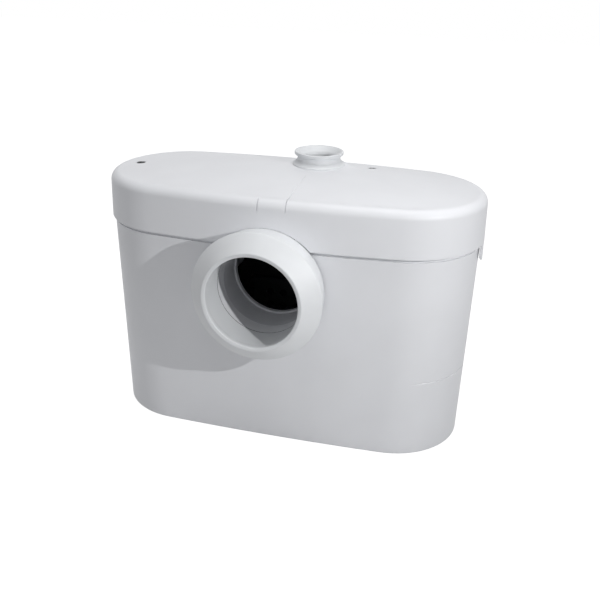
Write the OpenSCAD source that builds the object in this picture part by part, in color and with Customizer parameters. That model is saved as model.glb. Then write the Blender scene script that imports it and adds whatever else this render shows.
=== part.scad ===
// Macerator pump for a toilet: an oval tank with a lift-off lid, a rubber sleeve for the pan outlet at
// the front and a rubber discharge collar on top. Inside are a basket, a blade and pump on one motor
// shaft, a riser with a flap valve, and a pressure switch with its electrics in a sealed tray.
// Millimetres, +X right, +Y back, +Z up. The origin is on the floor under the middle of the oval.

/* [Tank] */
// Length of the tank's base
base_l = 381.6; // [372:0.2:386]
// Radius of the base's rounded ends
base_end_r = 74; // [70:0.5:78]
// Bow of the base's long sides beyond the radius of its ends
base_bow = 2.6; // [1:0.1:6]
// Height of the tank's rim above the inlet's throat
rim_over_throat = 2; // [1:0.1:10]
// Thickness of the tank's wall
tank_wall = 3.5; // [3:0.1:4]
// Thickness of the tank's bottom
tank_bottom = 3.5; // [3:0.1:5]
// Chamfer round the tank's lower edge
base_edge = 1.5; // [0.5:0.1:3]
// Thickness of the rubber mat under the tank
mat_t = 2; // [1:0.1:4]
// Inset of the mat from the tank's lower edge
mat_inset = 6; // [4:0.5:20]
// Thickness of the seal on the rim
rim_seal_t = 2; // [1:0.1:3]

/* [Lid] */
// Length of the lid, end to end
lid_l = 400; // [396:0.5:410]
// Radius of the lid's rounded ends
lid_end_r = 82.4; // [78:0.2:86]
// Bow of the lid's long sides beyond the radius of its ends
lid_bow = 6.8; // [4:0.1:9]
// Height of the lid's skirt up to the end of its edge rounding
lid_skirt_h = 49; // [44:0.5:56]
// Length of skirt that covers the tank below its rim
lid_cover = 10.5; // [6:0.5:16]
// How much narrower each side of the skirt is at its top
lid_draft = 0.6; // [0:0.1:1]
// Radius of the rounding between skirt and top
lid_edge_r = 13; // [9:0.5:16]
// Rise of the domed top above its edge
lid_dome_h = 6; // [4:0.5:9]
// Thickness of the lid's wall
lid_wall = 2.8; // [2.4:0.1:3.2]
// Clearance between the rim and the inside of the skirt
rim_gap = 0.7; // [0.5:0.1:1]
// Height of the ledge inside the skirt that sits on the seal
lid_ledge_h = 4; // [3:0.5:6]
// Width of the clip tab on the right end
tab_w = 17; // [10:0.5:24]
// Length of the clip tab below the skirt
tab_l = 19; // [10:0.5:26]
// Thickness of the clip tab
tab_t = 2.6; // [2:0.1:3]
// Distance of the first lid screw from the lid's left end
lid_screw_end = 28; // [24:0.5:34]
// Sideways place of the second lid screw
lid_screw_x = 72; // [60:1:90]
// Distance of the second lid screw from the lid's back
lid_screw_back = 37.2; // [32:0.2:44]
// Radius of a lid screw's head
lid_screw_head_r = 4.4; // [3.6:0.1:5]
// Radius of a lid screw's shank
lid_screw_r = 2; // [1.5:0.1:2.5]
// Depth of a lid screw's head below the top
lid_screw_depth = 4; // [2:0.5:8]
// Radius of the bosses that take the lid screws
lid_boss_r = 7; // [6.5:0.5:9]
// Place of the vent filter under the lid
filter_at = [-90, 0];
// Radius of the vent filter
filter_r = 22; // [14:0.5:28]
// Height of the vent filter
filter_h = 12; // [6:0.5:16]
// Wall of the ring that holds the vent filter
filter_ring_wall = 2.5; // [2:0.1:4]
// Radius of the vent filter's holes
filter_hole_r = 2; // [1:0.1:4]
// Number of holes in the vent filter
filter_hole_n = 6; // [4:1:8]

/* [Inlet] */
// Sideways place of the inlet's axis
inlet_x = -3.4; // [-8:0.2:4]
// Height of the inlet's axis
inlet_z = 179; // [176:0.5:182]
// Radius of the inlet's bore
inlet_r = 46; // [44:0.1:48]
// Radius of the sleeve where it leaves the lid's face
sleeve_root_r = 61.1; // [60.5:0.1:63]
// Radius of the sleeve's widest crease
sleeve_crease_r = 66.2; // [64:0.1:70]
// Radius of the sleeve's front rim
sleeve_rim_r = 49.8; // [49.2:0.1:53]
// Reach of the crease in front of the lid's face
sleeve_crease_reach = 26.7; // [22:0.1:30]
// Reach of the front rim in front of the lid's face
sleeve_reach = 42.2; // [38:0.1:48]
// Outer radius of the spigot that carries the sleeve
spigot_r = 57.5; // [56:0.1:58]
// Wall of the spigot
spigot_wall = 3.5; // [3:0.1:4]
// Reach of the spigot in front of the lid's face
spigot_reach = 15; // [10:0.5:18]
// How much wider the throat behind the sleeve is than the sleeve's bore
throat_step = 1; // [0.5:0.1:2]
// Wall of that throat
throat_wall = 3; // [2.5:0.1:3.5]
// Length of the throat behind the sleeve's seat
throat_l = 34.2; // [28:0.2:40]
// Distance of the sleeve's inner seat in front of the lid's face
sleeve_seat = 1; // [0.5:0.1:3]
// Thickness of the throat's flange behind that seat
throat_flange_t = 3.5; // [3:0.1:4]
// Clearance of the lid's arch round the sleeve
arch_gap = 1.3; // [1:0.1:2]

/* [Discharge] */
// Sideways place of the discharge collar
collar_x = 16.8; // [12:0.2:20]
// Depth-wise place of the discharge collar
collar_y = 40; // [37:0.5:44]
// Radius of the collar's foot on the lid
collar_foot_r = 29; // [27:0.5:31]
// Radius of the collar's neck
collar_neck_r = 22.8; // [22:0.1:24]
// Radius of the collar's flared lip
collar_lip_r = 26.7; // [25.5:0.1:28]
// Height of the collar above its seat on the lid
collar_h = 12.9; // [12:0.1:18]
// Radius of the bore that takes the discharge pipe
discharge_r = 16; // [15.5:0.1:16.3]
// Length of that bore
discharge_l = 8; // [6:0.5:9]
// Height of that bore's lower end above the collar's seat
bore_rise = 0.5; // [0.2:0.1:1]
// Radius of the collar's barrel through the lid
barrel_r = 20.7; // [20.2:0.1:21.5]
// Height of the flat seat for the collar above the lid's edge
seat_rise = 6.2; // [6:0.1:7]
// Depth of the collar's lower socket
socket_l = 27.5; // [24:0.5:30]

/* [Shaft and motor] */
// Height of the motor shaft above the floor
shaft_z = 66; // [63:0.5:72]
// Radius of the shaft
shaft_r = 6; // [5:0.1:7]
// Inner radius of the motor housing
can_r = 40; // [38:0.5:42]
// Wall of the motor housing
can_wall = 3.5; // [2.5:0.1:4]
// Length of the motor housing
can_l = 88; // [86:1:92]
// Thickness of the motor's flange and of its rear cap
shield_t = 4; // [3:0.5:6]
// Outer radius of a bearing
bearing_r = 11; // [10:0.5:12]
// Width of a bearing
bearing_w = 9; // [8:0.5:10]
// Wall of a bearing's pocket
pocket_wall = 4; // [3:0.5:5]
// Radius of the rotor core
rotor_r = 22; // [20:0.5:24]
// Length of rotor and stator cores
core_l = 44; // [36:1:46]
// Air gap between rotor and stator
air_gap = 0.5; // [0.3:0.1:1]
// Length of each end winding
winding_l = 9; // [6:0.5:10]
// Radial thickness of the end windings
winding_t = 10; // [6:0.5:12]
// Width of each cradle saddle along the shaft
saddle_w = 12; // [8:1:16]
// Distance between the cradle's saddles
saddle_pitch = 48; // [36:1:52]
// Width of the cradle across the shaft
cradle_w = 76; // [60:1:80]
// Height of the saddles above the tank's bottom
saddle_h = 44; // [36:1:48]
// Thickness of the cradle's base
cradle_t = 3.5; // [3:0.1:6]

/* [Pump] */
// Place of the pump casing's front face along the shaft
pump_x = 37; // [36:0.5:40]
// Radius of the pump chamber
chamber_r = 40; // [38:0.5:42]
// Width of the pump chamber along the shaft
chamber_w = 25; // [24.5:0.5:28]
// Wall of the pump casing
casing_wall = 3; // [2.5:0.1:4]
// Radius of the pump's bolt circle
bolt_circle_r = 48.5; // [48:0.1:50]
// Radius of the pump's clamping flange
flange_r = 53.5; // [53:0.1:56]
// Thickness of the casing's clamping flange
flange_t = 5; // [4:0.5:7]
// Thickness of the pump's cover
cover_t = 4; // [3.5:0.1:6]
// Radius of a pump screw's shank
pump_screw_r = 2; // [1.5:0.1:2.5]
// Radius of a pump screw's head
pump_screw_head_r = 4; // [3:0.1:4.4]
// Number of pump screws
pump_screw_n = 4; // [3:1:4]
// Radius of the suction eye
eye_r = 14; // [13:0.5:16]
// Length of the suction collar in front of the casing
suction_l = 12; // [10:0.5:14]
// Outer radius of the shaft seal
seal_r = 12; // [11:0.5:14]
// Radius of the impeller
impeller_r = 33; // [28:0.5:35]
// Thickness of the impeller's back plate
impeller_plate_t = 3; // [2:0.5:4]
// Length of the impeller's vanes along the shaft
vane_l = 14; // [10:0.5:15]
// Thickness of a vane
vane_t = 3; // [2:0.5:4]
// Number of vanes
vane_n = 6; // [4:1:8]
// Radius of the impeller's hub
hub_r = 9; // [8.5:0.1:10]
// Sweep radius of the blade
blade_r = 30; // [24:0.5:34]
// Width of the blade
blade_w = 14; // [10:0.5:18]
// Thickness of the blade
blade_t = 4; // [3:0.5:5]
// Height of the blade's nut along the shaft
nut_h = 6; // [5:0.5:8]

/* [Basket] */
// Length of the basket along the shaft
basket_l = 96; // [90:1:102]
// Depth of the basket
basket_d = 120; // [110:1:126]
// Height of the basket's top above the floor
basket_top_z = 128; // [118:1:130]
// Wall of the basket
basket_wall = 2.5; // [2:0.1:4]
// Height of the basket's feet
basket_foot_h = 8; // [5:0.5:12]
// Radius of the basket's holes
hole_r = 4.5; // [3:0.1:5.5]
// Distance between the basket's holes
hole_pitch = 16; // [14:0.5:20]
// Gap between the basket and the pump casing
basket_gap = 7; // [6:0.5:8]

/* [Riser and valve] */
// Bore radius of the riser
riser_r = 11; // [10:0.1:11.4]
// Wall of the riser and its spigots
riser_wall = 2.8; // [2.4:0.1:3]
// Bend radius of the riser's two bends
bend_r = 26; // [25:0.5:28]
// Clearance of the riser's lower socket above the pump's flange
outlet_gap = 1.5; // [1:0.1:3]
// Overlap of the riser's sockets on their spigots
riser_overlap = 10; // [8:0.5:12]
// Wall of the riser's sockets
riser_socket_wall = 2.8; // [2.2:0.1:3.2]
// Height of a riser clamp
clamp_h = 7; // [5:0.5:8]
// Radial thickness of a riser clamp
clamp_t = 1.8; // [1.2:0.1:2]
// Radius of the valve's chamber
valve_r = 20; // [19.5:0.1:21]
// Wall of the valve's chamber
valve_wall = 3; // [2.5:0.1:4]
// Height of the valve's chamber
valve_h = 40; // [38:0.5:41]
// Radius of the flap
flap_r = 16; // [15:0.1:16.5]
// Thickness of the flap
flap_t = 2.5; // [2:0.1:3]
// Distance of the flap's pin from the valve's axis
flap_pin_off = 14.5; // [14:0.1:15]
// Radius of the flap's pin
flap_pin_r = 1.5; // [1:0.1:1.8]
// Radius of the flap's knuckle
knuckle_r = 3; // [2.5:0.1:3.2]
// Length of the flap's knuckle
knuckle_l = 12; // [8:0.5:13]

/* [Level switch and electrics] */
// Outer radius of the pressure bell
bell_r = 23; // [21:0.5:26]
// Wall of the pressure bell
bell_wall = 3; // [2:0.1:4]
// Radius of the air passage at the bell's top
air_r = 9; // [6:0.5:10]
// Height of the notches at the bell's foot
bell_notch_h = 12; // [8:0.5:20]
// Height of the tray's underside above the floor
tray_z = 150; // [148:1:156]
// Clearance between the tray's outer corners and the tank's end wall
tray_end_gap = 7.4; // [4:0.2:14]
// Length of the electrics tray
tray_l = 92; // [90:1:96]
// Depth of the electrics tray
tray_d = 100; // [98:1:104]
// Height of the electrics tray
tray_h = 52; // [50:0.5:54]
// Wall of the electrics tray
tray_wall = 2.5; // [2:0.1:3]
// Radius of the posts under the tray
post_r = 5; // [4:0.5:6]
// Radius of a small screw's shank in the tray
tray_screw_r = 1.5; // [1.2:0.1:1.8]
// Length of a small screw's shank in its post or boss
tray_screw_l = 10; // [6:0.5:12]
// Radius of a small screw's head
tray_screw_head_r = 3; // [2.4:0.1:3.4]
// Height of a small screw's head
tray_screw_head_h = 2.2; // [1.6:0.1:2.6]
// Radius of the diaphragm
diaphragm_r = 17; // [15:0.5:19]
// Thickness of the diaphragm
diaphragm_t = 1.5; // [1:0.1:2]
// Outer radius of the switch body
switch_r = 20; // [19.5:0.1:20.5]
// Wall of the switch body
switch_wall = 3.5; // [3:0.1:4]
// Height of the switch body
switch_h = 25; // [23:0.5:26]
// Radius of the plunger's foot
plunger_foot_r = 12; // [10:0.5:13]
// Radius of the plunger's stem
plunger_r = 3; // [2.5:0.1:3.5]
// Travel of the plunger
plunger_travel = 2; // [1:0.1:2.5]
// Wire radius of the plunger's spring
spring_wire_r = 0.5; // [0.3:0.05:0.6]
// Turns of the plunger's spring
spring_turns = 5; // [4:1:6]
// Size of the micro switch
micro_size = [24, 14, 16];
// Radius of the capacitor
capacitor_r = 12; // [10:0.5:12.5]
// Length of the capacitor
capacitor_l = 54; // [40:1:55]
// Size of the terminal block
terminal_size = [54, 16, 20];
// Number of terminals
terminal_n = 5; // [3:1:6]
// Thickness of the tray's cover
tray_cover_t = 3; // [2:0.1:4]
// Thickness of the tray's seal
tray_seal_t = 2; // [1:0.1:3]
// Sideways place of the cable grommet from the tray's middle
grommet_off = 6; // [-20:1:20]
// Height of the cable grommet above the floor
grommet_z = 190; // [170:1:200]
// Radius of the cable grommet's bore
cable_r = 3.5; // [3:0.1:4.5]
// Radius of the cable grommet in the tank's wall
grommet_r = 7; // [6:0.1:8]
// Radius of the grommet's flanges
grommet_flange_r = 12; // [10.5:0.5:13]
// Thickness of the grommet's flanges
grommet_flange_t = 2.3; // [1.5:0.1:4]
// Length of the grommet's neck behind its outer flange
grommet_neck_l = 5.5; // [3:0.1:6]

/* [Hidden] */
$fn = 64;

// Clearance of a shaft, pin or screw in its bore
fit = 0.05;
// Clearance between a piece and its seat
seat_gap = 0.3;
// Overshoot of a cut past the face it opens
cut = 1;
// Points round an oval, and the share of them on its round ends
oval_n = 96;
end_share = 0.75;
// Steps round the lid's edge
edge_n = 6;
// Sides of the riser, and steps in each of its bends
riser_sides = 24;
riser_steps = 6;

// Inlet places along Y, front negative, and the throat's radii
throat_r = inlet_r + throat_step;
throat_outer_r = throat_r + throat_wall;
lid_a = lid_l / 2;
lid_b = lid_end_r + lid_bow;
face_y = -lid_b;
seat_y = face_y - sleeve_seat;
throat_flange_y = seat_y + throat_flange_t;
arch_back_y = throat_flange_y + 2 * arch_gap;
spigot_y = face_y - spigot_reach;
throat_y = seat_y + throat_l;
sleeve_overlap = 3;
sleeve_root_y = face_y + sleeve_overlap;
crease_y = face_y - sleeve_crease_reach;
rim_y = face_y - sleeve_reach;
arch_r = sleeve_root_r + arch_gap;

// Tank heights and outlines
tank_z = mat_t;
floor_z = tank_z + tank_bottom;
wall_foot_z = tank_z + base_edge;
rim_z = inlet_z + throat_outer_r + rim_over_throat;
base_a = base_l / 2;
base_b = base_end_r + base_bow;
rim_inset = lid_wall + rim_gap;
rim_a = lid_a - rim_inset;
rim_b = lid_b - rim_inset;
rim_end_r = lid_end_r - rim_inset;

// Lid heights and the places of its screws
skirt_z = rim_z - lid_cover;
edge_z = skirt_z + lid_skirt_h;
ledge_z = rim_z + rim_seal_t;
inner_edge_r = lid_edge_r - lid_wall;
inner_edge_z = edge_z - lid_wall;
lid_screw_at = [[lid_screw_end - lid_a, 0], [lid_screw_x, lid_b - lid_screw_back]];
lug_h = 18;
lug_w = 2 * lid_boss_r;

// Discharge heights
collar_z = edge_z + seat_rise;
bore_z = collar_z + bore_rise;
socket_z = bore_z - socket_l;
socket_r = discharge_r + 1;
outlet_spigot_r = socket_r - seat_gap;
hole_gap_r = barrel_r + seat_gap;
seat_r = collar_foot_r + 1;
seat_under_z = inner_edge_z - 1;

// Shaft places along X
casing_x1 = pump_x + casing_wall + chamber_w;
cover_x1 = casing_x1 + cover_t;
flange_x1 = cover_x1 + shield_t;
can_x1 = flange_x1 + can_l;
cap_x1 = can_x1 + shield_t;
pocket_r = bearing_r + pocket_wall;
pocket_l = bearing_w + 2;
core_x = (flange_x1 + can_x1 - core_l) / 2;
core_x1 = core_x + core_l;
winding_r = rotor_r + air_gap + 3;
eye_x = pump_x - suction_l;
blade_x1 = eye_x - 5;
blade_x = blade_x1 - blade_t;
nut_x = blade_x - nut_h;
shaft_x = nut_x - 2;
shaft_x1 = can_x1 - 2;
hub_x1 = casing_x1 - 3;
plate_x = hub_x1 - impeller_plate_t;
can_outer_r = can_r + can_wall;
casing_r = chamber_r + casing_wall;
screw_head_h = 3.2;

// Pump outlet and riser
riser_outer_r = riser_r + riser_wall;
outlet_x = pump_x + riser_outer_r + 0.1;
outlet_y = chamber_r - riser_r - 2;
outlet_z = shaft_z + flange_r + outlet_gap + riser_overlap;
riser_socket_r = riser_outer_r + seat_gap;
riser_socket_outer_r = riser_socket_r + riser_socket_wall;
shift = norm([collar_x - outlet_x, collar_y - outlet_y]);
shift_deg = atan2(collar_y - outlet_y, collar_x - outlet_x);
bend_deg = acos(1 - shift / (2 * bend_r));
bend_rise = bend_r * sin(bend_deg);
bend_z = outlet_z + 4;
riser_top_z = bend_z + 2 * bend_rise;
valve_top_z = socket_z - seat_gap - valve_wall;
seat_z = valve_top_z - valve_h;
valve_foot_z = riser_top_z + 3;
flap_pin_z = seat_z + flap_t + knuckle_r - 0.5;
flap_pin_x = collar_x - flap_pin_off;

// Basket places
basket_x1 = pump_x - basket_gap;
basket_x = basket_x1 - basket_l;
basket_z = floor_z + basket_foot_h;

// Tray places
tray_share = (tray_z - wall_foot_z) / (rim_z - wall_foot_z);
tray_end_a = base_a + (rim_a - base_a) * tray_share - tank_wall;
tray_end_r = base_end_r + (rim_end_r - base_end_r) * tray_share - tank_wall;
tray_x = tray_end_gap - (tray_end_a - tray_end_r + sqrt(tray_end_r ^ 2 - (tray_d / 2) ^ 2));
tray_y = -tray_d / 2;
bell_at = [tray_x + tray_l / 2, 0];
tray_floor_z = tray_z + tray_wall;
tray_top_z = tray_z + tray_h;
corner_in = tray_screw_head_r + tray_wall + 1.5;
tray_hold_at = [for (sx = [-1, 1], sy = [-1, 1])
    [bell_at[0] + sx * (tray_l / 2 - 14), sy * (tray_d / 2 - 14)]];
tray_corner_at = [for (sx = [-1, 1], sy = [-1, 1])
    [bell_at[0] + sx * (tray_l / 2 - corner_in), sy * (tray_d / 2 - corner_in)]];
corner_boss_r = corner_in - tray_wall + 0.5;
switch_z = tray_floor_z + diaphragm_t;
switch_top_z = switch_z + switch_h;
plunger_z = switch_z + seat_gap;
plunger_foot_t = 2.5;
stem_top_z = switch_top_z + 5;
spring_z = plunger_z + plunger_foot_t + seat_gap;
spring_top_z = switch_top_z - switch_wall - seat_gap;
spring_r = plunger_r + spring_wire_r + 1;

// Grommet places on the back wall: each flange clears the wall where it bows towards that flange
grommet_x = bell_at[0] + grommet_off;
grommet_out_y = back_wall_y(grommet_x + grommet_flange_r, grommet_z + grommet_flange_r) + seat_gap;
grommet_in_y = back_wall_y(grommet_x - grommet_flange_r, grommet_z - grommet_flange_r) - tank_wall - seat_gap;
grommet_end_y = grommet_out_y + grommet_flange_t + grommet_neck_l;

// Radius of the long side arcs of an oval of half length a, half depth b and end radius r
function side_r(a, b, r) = ((a - r) ^ 2 + b ^ 2 - r ^ 2) / (2 * (b - r));

// Half depth of the tank's outer wall on its back, at a sideways place x and a height z
function back_wall_y(x, z) =
    let (
        t = (z - wall_foot_z) / (rim_z - wall_foot_z),
        b = base_b + (rim_b - base_b) * t,
        s = side_r(base_a + (rim_a - base_a) * t, b, base_end_r + (rim_end_r - base_end_r) * t)
    )
    b - s + sqrt(s ^ 2 - x ^ 2);

// One point of an oval of half length a, half depth b and end radius r: u runs from 0 to 4 round it.
// End arcs are centred on the long axis and meet the flat side arcs at a common tangent.
function oval_point(a, b, r, u) =
    let (
        q = floor(u),
        s = q % 2 == 0 ? u - q : 1 - (u - q),
        long_r = side_r(a, b, r),
        turn = atan2(long_r - b, a - r),
        on_end = s < end_share,
        deg = on_end ? turn * s / end_share : turn + (90 - turn) * (s - end_share) / (1 - end_share),
        x = on_end ? a - r + r * cos(deg) : long_r * cos(deg),
        y = on_end ? r * sin(deg) : b - long_r + long_r * sin(deg)
    )
    [q == 0 || q == 3 ? x : -x, q < 2 ? y : -y];

// An oval outline, and the same as a ring of points at height z
function oval(a, b, r) = [for (i = [0 : oval_n - 1]) oval_point(a, b, r, 4 * i / oval_n)];
function ring(a, b, r, z) = [for (p = oval(a, b, r)) [p[0], p[1], z]];

// A ring of the lid's outline drawn in by d
function lid_ring(d, z) = ring(lid_a - d, lid_b - d, lid_end_r - d, z);

// A ring of the lid's dome: the outline inside d, shrunk to a share s of its size
function dome_ring(d, s, z) =
    ring((lid_a - d) * s, (lid_b - d) * s, (lid_end_r - d) * s, z + lid_dome_h * (1 - s * s));

// Height of the lid's top over a point, and of the middle of its wall there
function top_z(at) =
    edge_z + lid_dome_h * (1 - (at[0] / (lid_a - lid_edge_r)) ^ 2 - (at[1] / (lid_b - lid_edge_r)) ^ 2);
function wall_z(at) = top_z(at) - lid_wall / 2;
// Height of a lid screw's seat in its recess
function screw_seat_z(at) = top_z(at) - lid_screw_depth;

// A closed solid whose skin runs through a list of rings and is capped at both ends
module loft(rings) {
    n = len(rings[0]);
    last = (len(rings) - 1) * n;
    polyhedron(
        points = [for (r = rings) each r],
        faces = concat(
            [[for (i = [0 : n - 1]) i]],
            [for (k = [0 : len(rings) - 2], i = [0 : n - 1])
                [k * n + i, (k + 1) * n + i, (k + 1) * n + (i + 1) % n]],
            [for (k = [0 : len(rings) - 2], i = [0 : n - 1])
                [k * n + i, (k + 1) * n + (i + 1) % n, k * n + (i + 1) % n]],
            [[for (i = [n - 1 : -1 : 0]) last + i]]
        )
    );
}

// A closed solid whose skin runs through a list of rings and back to the first
module closed_loft(rings) {
    n = len(rings[0]);
    m = len(rings);
    polyhedron(
        points = [for (r = rings) each r],
        faces = concat(
            [for (k = [0 : m - 1], i = [0 : n - 1])
                [k * n + i, (k + 1) % m * n + (i + 1) % n, (k + 1) % m * n + i]],
            [for (k = [0 : m - 1], i = [0 : n - 1])
                [k * n + i, k * n + (i + 1) % n, (k + 1) % m * n + (i + 1) % n]]
        )
    );
}

// A flat oval plate
module oval_plate(a, b, r, z, h) {
    translate([0, 0, z]) linear_extrude(h) polygon(oval(a, b, r));
}

// Round bars along the three axes, from one coordinate to another
module bar_x(r, x0, x1, y = 0, z = shaft_z) {
    translate([x0, y, z]) rotate([0, 90, 0]) cylinder(r = r, h = x1 - x0);
}
module bar_y(r, y0, y1, x, z) {
    translate([x, y0, z]) rotate([-90, 0, 0]) cylinder(r = r, h = y1 - y0);
}
module bar_z(r, z0, z1, at) {
    translate([at[0], at[1], z0]) cylinder(r = r, h = z1 - z0);
}

// A round ring along the shaft
module ring_x(r0, r1, x0, x1) {
    difference() {
        bar_x(r1, x0, x1);
        bar_x(r0, x0 - cut, x1 + cut);
    }
}

// The places of the pump's screws round the shaft
module at_pump_screws() {
    for (i = [0 : pump_screw_n - 1])
        translate([0, 0, shaft_z]) rotate([10 + 360 * i / pump_screw_n, 0, 0])
            translate([0, bolt_circle_r, 0]) rotate([0, 90, 0]) children();
}

// The tank's wall: a tapered oval ring with round holes for the throat and the cable grommet, and two lugs
// for the lid's screws
module tank_body() {
    lug_z = rim_z - lug_h;
    lug_in = 3;
    d = tank_wall;
    color("whitesmoke") difference() {
        union() {
            closed_loft([
                ring(base_a - d, base_b - d, base_end_r - d, tank_z),
                ring(base_a - d, base_b - d, base_end_r - d, floor_z),
                ring(rim_a - d, rim_b - d, rim_end_r - d, rim_z),
                ring(rim_a, rim_b, rim_end_r, rim_z),
                ring(base_a, base_b, base_end_r, wall_foot_z),
                ring(base_a - base_edge, base_b - base_edge, base_end_r - base_edge, tank_z)
            ]);
            translate([lug_in - rim_a, lid_screw_at[0][1] - lug_w / 2, lug_z])
                cube([rim_a - lug_in + lid_screw_at[0][0] + lid_boss_r, lug_w, lug_h]);
            translate([lid_screw_at[1][0] - lug_w / 2, lid_screw_at[1][1] - lid_boss_r, lug_z])
                cube([lug_w, rim_b - lug_in - lid_screw_at[1][1] + lid_boss_r, lug_h]);
        }
        bar_y(throat_outer_r + fit, seat_y, throat_y, inlet_x, inlet_z);
        bar_y(grommet_r + fit, grommet_in_y - cut, grommet_out_y + cut, grommet_x, grommet_z);
        for (p = lid_screw_at) bar_z(lid_screw_r + seat_gap, lug_z - cut, rim_z + cut, p);
    }
}

// The tank's bottom, inside the wall
module tank_floor() {
    d = tank_wall + fit;
    color("whitesmoke") oval_plate(base_a - d, base_b - d, base_end_r - d, tank_z, tank_bottom);
}

// The rubber mat that the tank stands on
module base_mat() {
    inset = base_edge + mat_inset;
    color("dimgray") oval_plate(base_a - inset, base_b - inset, base_end_r - inset, 0, mat_t);
}

// The rubber seal on the rim
module rim_seal() {
    d = tank_wall;
    color("gray") difference() {
        oval_plate(rim_a, rim_b, rim_end_r, rim_z, rim_seal_t);
        oval_plate(rim_a - d, rim_b - d, rim_end_r - d, rim_z - cut, rim_seal_t + 2 * cut);
    }
}

// The lid: a domed oval shell with an inner ledge, an arch for the sleeve, bosses for its screws, a
// flat seat for the discharge collar, a ring for the vent filter and a clip tab on its right end
module lid_shell() {
    color("white") difference() {
        union() {
            loft(concat(
                [for (s = [0.3, 0.65]) dome_ring(lid_edge_r, s, inner_edge_z)],
                [for (k = [edge_n : -1 : 0]) let (t = 90 * k / edge_n)
                    lid_ring(lid_wall + lid_draft + inner_edge_r * (1 - cos(t)),
                        inner_edge_z - inner_edge_r + inner_edge_r * sin(t))],
                [lid_ring(lid_wall, skirt_z), lid_ring(0, skirt_z)],
                [for (k = [0 : edge_n]) let (t = 90 * k / edge_n)
                    lid_ring(lid_draft + lid_edge_r * (1 - cos(t)),
                        edge_z - lid_edge_r + lid_edge_r * sin(t))],
                [for (s = [0.9, 0.65, 0.3]) dome_ring(lid_edge_r, s, edge_z)]
            ));
            lid_ledge();
            for (p = lid_screw_at) bar_z(lid_boss_r, rim_z, wall_z(p), p);
            bar_z(seat_r, seat_under_z, collar_z, [collar_x, collar_y]);
            bar_z(filter_r + filter_ring_wall, inner_edge_z - filter_h, wall_z(filter_at), filter_at);
            clip_tab();
        }
        bar_y(arch_r, face_y - cut, arch_back_y, inlet_x, inlet_z);
        bar_z(hole_gap_r, seat_under_z - cut, collar_z + cut, [collar_x, collar_y]);
        bar_z(filter_r + seat_gap, inner_edge_z - filter_h - cut, inner_edge_z, filter_at);
        for (p = lid_screw_at) {
            bar_z(lid_screw_r + fit, rim_z - cut, collar_z, p);
            bar_z(lid_screw_head_r + seat_gap, screw_seat_z(p), collar_z + cut, p);
        }
    }
}

// The ledge inside the skirt that sits on the rim seal
module lid_ledge() {
    ledge_in = 2;
    out = lid_draft + lid_wall / 2;
    inner = rim_inset + tank_wall + ledge_in;
    difference() {
        oval_plate(lid_a - out, lid_b - out, lid_end_r - out, ledge_z, lid_ledge_h);
        oval_plate(lid_a - inner, lid_b - inner, lid_end_r - inner, ledge_z - cut, lid_ledge_h + 2 * cut);
    }
}

// The clip tab that hangs from the skirt on the right end, with a round lower end
module clip_tab() {
    root = 4;
    x = lid_a - lid_wall;
    round_z = skirt_z - tab_l + tab_w / 2;
    translate([x, -tab_w / 2, round_z]) cube([tab_t, tab_w, skirt_z + root - round_z]);
    bar_x(tab_w / 2, x, x + tab_t, 0, round_z);
}

// The two screws that hold the lid down, with cross slots in their heads
module lid_screws() {
    head_h = 2.6;
    slot_w = 1;
    tip = 2;
    color("silver") for (p = lid_screw_at) {
        z = screw_seat_z(p);
        bar_z(lid_screw_r, rim_z - lug_h + tip, z, p);
        difference() {
            bar_z(lid_screw_head_r, z, z + head_h, p);
            for (turn = [0, 90]) translate([p[0], p[1], z + head_h / 2]) rotate([0, 0, turn])
                translate([-lid_screw_head_r, -slot_w / 2, 0])
                    cube([2 * lid_screw_head_r, slot_w, head_h]);
        }
    }
}

// The charcoal vent filter in its ring under the lid
module vent_filter() {
    low = inner_edge_z - filter_h;
    hole_at = filter_at + [filter_r - 4 * filter_hole_r, 0];
    color("dimgray") difference() {
        bar_z(filter_r, low, inner_edge_z, filter_at);
        for (i = [0 : filter_hole_n - 1]) rotate_about(filter_at, 360 * i / filter_hole_n)
            bar_z(filter_hole_r, low - cut, inner_edge_z + cut, hole_at);
    }
}

// Turns its children about a vertical line through a point
module rotate_about(at, deg) {
    translate([at[0], at[1], 0]) rotate([0, 0, deg]) translate([-at[0], -at[1], 0]) children();
}

// A solid turned about an axis along Y at x and z, from a profile of radius and place along Y
module turned_y(x, z, profile) {
    translate([x, 0, z]) rotate([90, 0, 0])
        rotate_extrude(convexity = 4) polygon([for (p = profile) [p[0], -p[1]]]);
}

// The rubber sleeve that takes the pan's outlet: it grips the spigot inside and out, widens to a crease
// and closes in a cone to its rounded front rim
module inlet_sleeve() {
    slot_out_r = spigot_r + fit;
    slot_in_r = spigot_r - spigot_wall - fit;
    slot_y = spigot_y - seat_gap;
    root_step = 0.8;
    rim_mid_r = (sleeve_rim_r + inlet_r) / 2;
    rim_round = (sleeve_rim_r - inlet_r) / 2;
    color("white") turned_y(inlet_x, inlet_z, concat(
        [
            [inlet_r, seat_y], [slot_in_r, seat_y], [slot_in_r, slot_y], [slot_out_r, slot_y],
            [slot_out_r, sleeve_root_y], [sleeve_root_r - root_step, sleeve_root_y],
            [sleeve_root_r, face_y], [sleeve_crease_r, crease_y]
        ],
        [for (t = [0 : 30 : 180]) [rim_mid_r + rim_round * cos(t), rim_y + rim_round - rim_round * sin(t)]]
    ));
}

// The throat through the tank's front wall, with the flange that the sleeve seats on and the spigot it grips
module inlet_throat() {
    spigot_in_r = spigot_r - spigot_wall;
    color("whitesmoke") turned_y(inlet_x, inlet_z, [
        [throat_r, throat_y], [throat_r, seat_y], [spigot_in_r, seat_y], [spigot_in_r, spigot_y],
        [spigot_r, spigot_y], [spigot_r, throat_flange_y], [throat_outer_r, throat_flange_y],
        [throat_outer_r, throat_y]
    ]);
}

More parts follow.
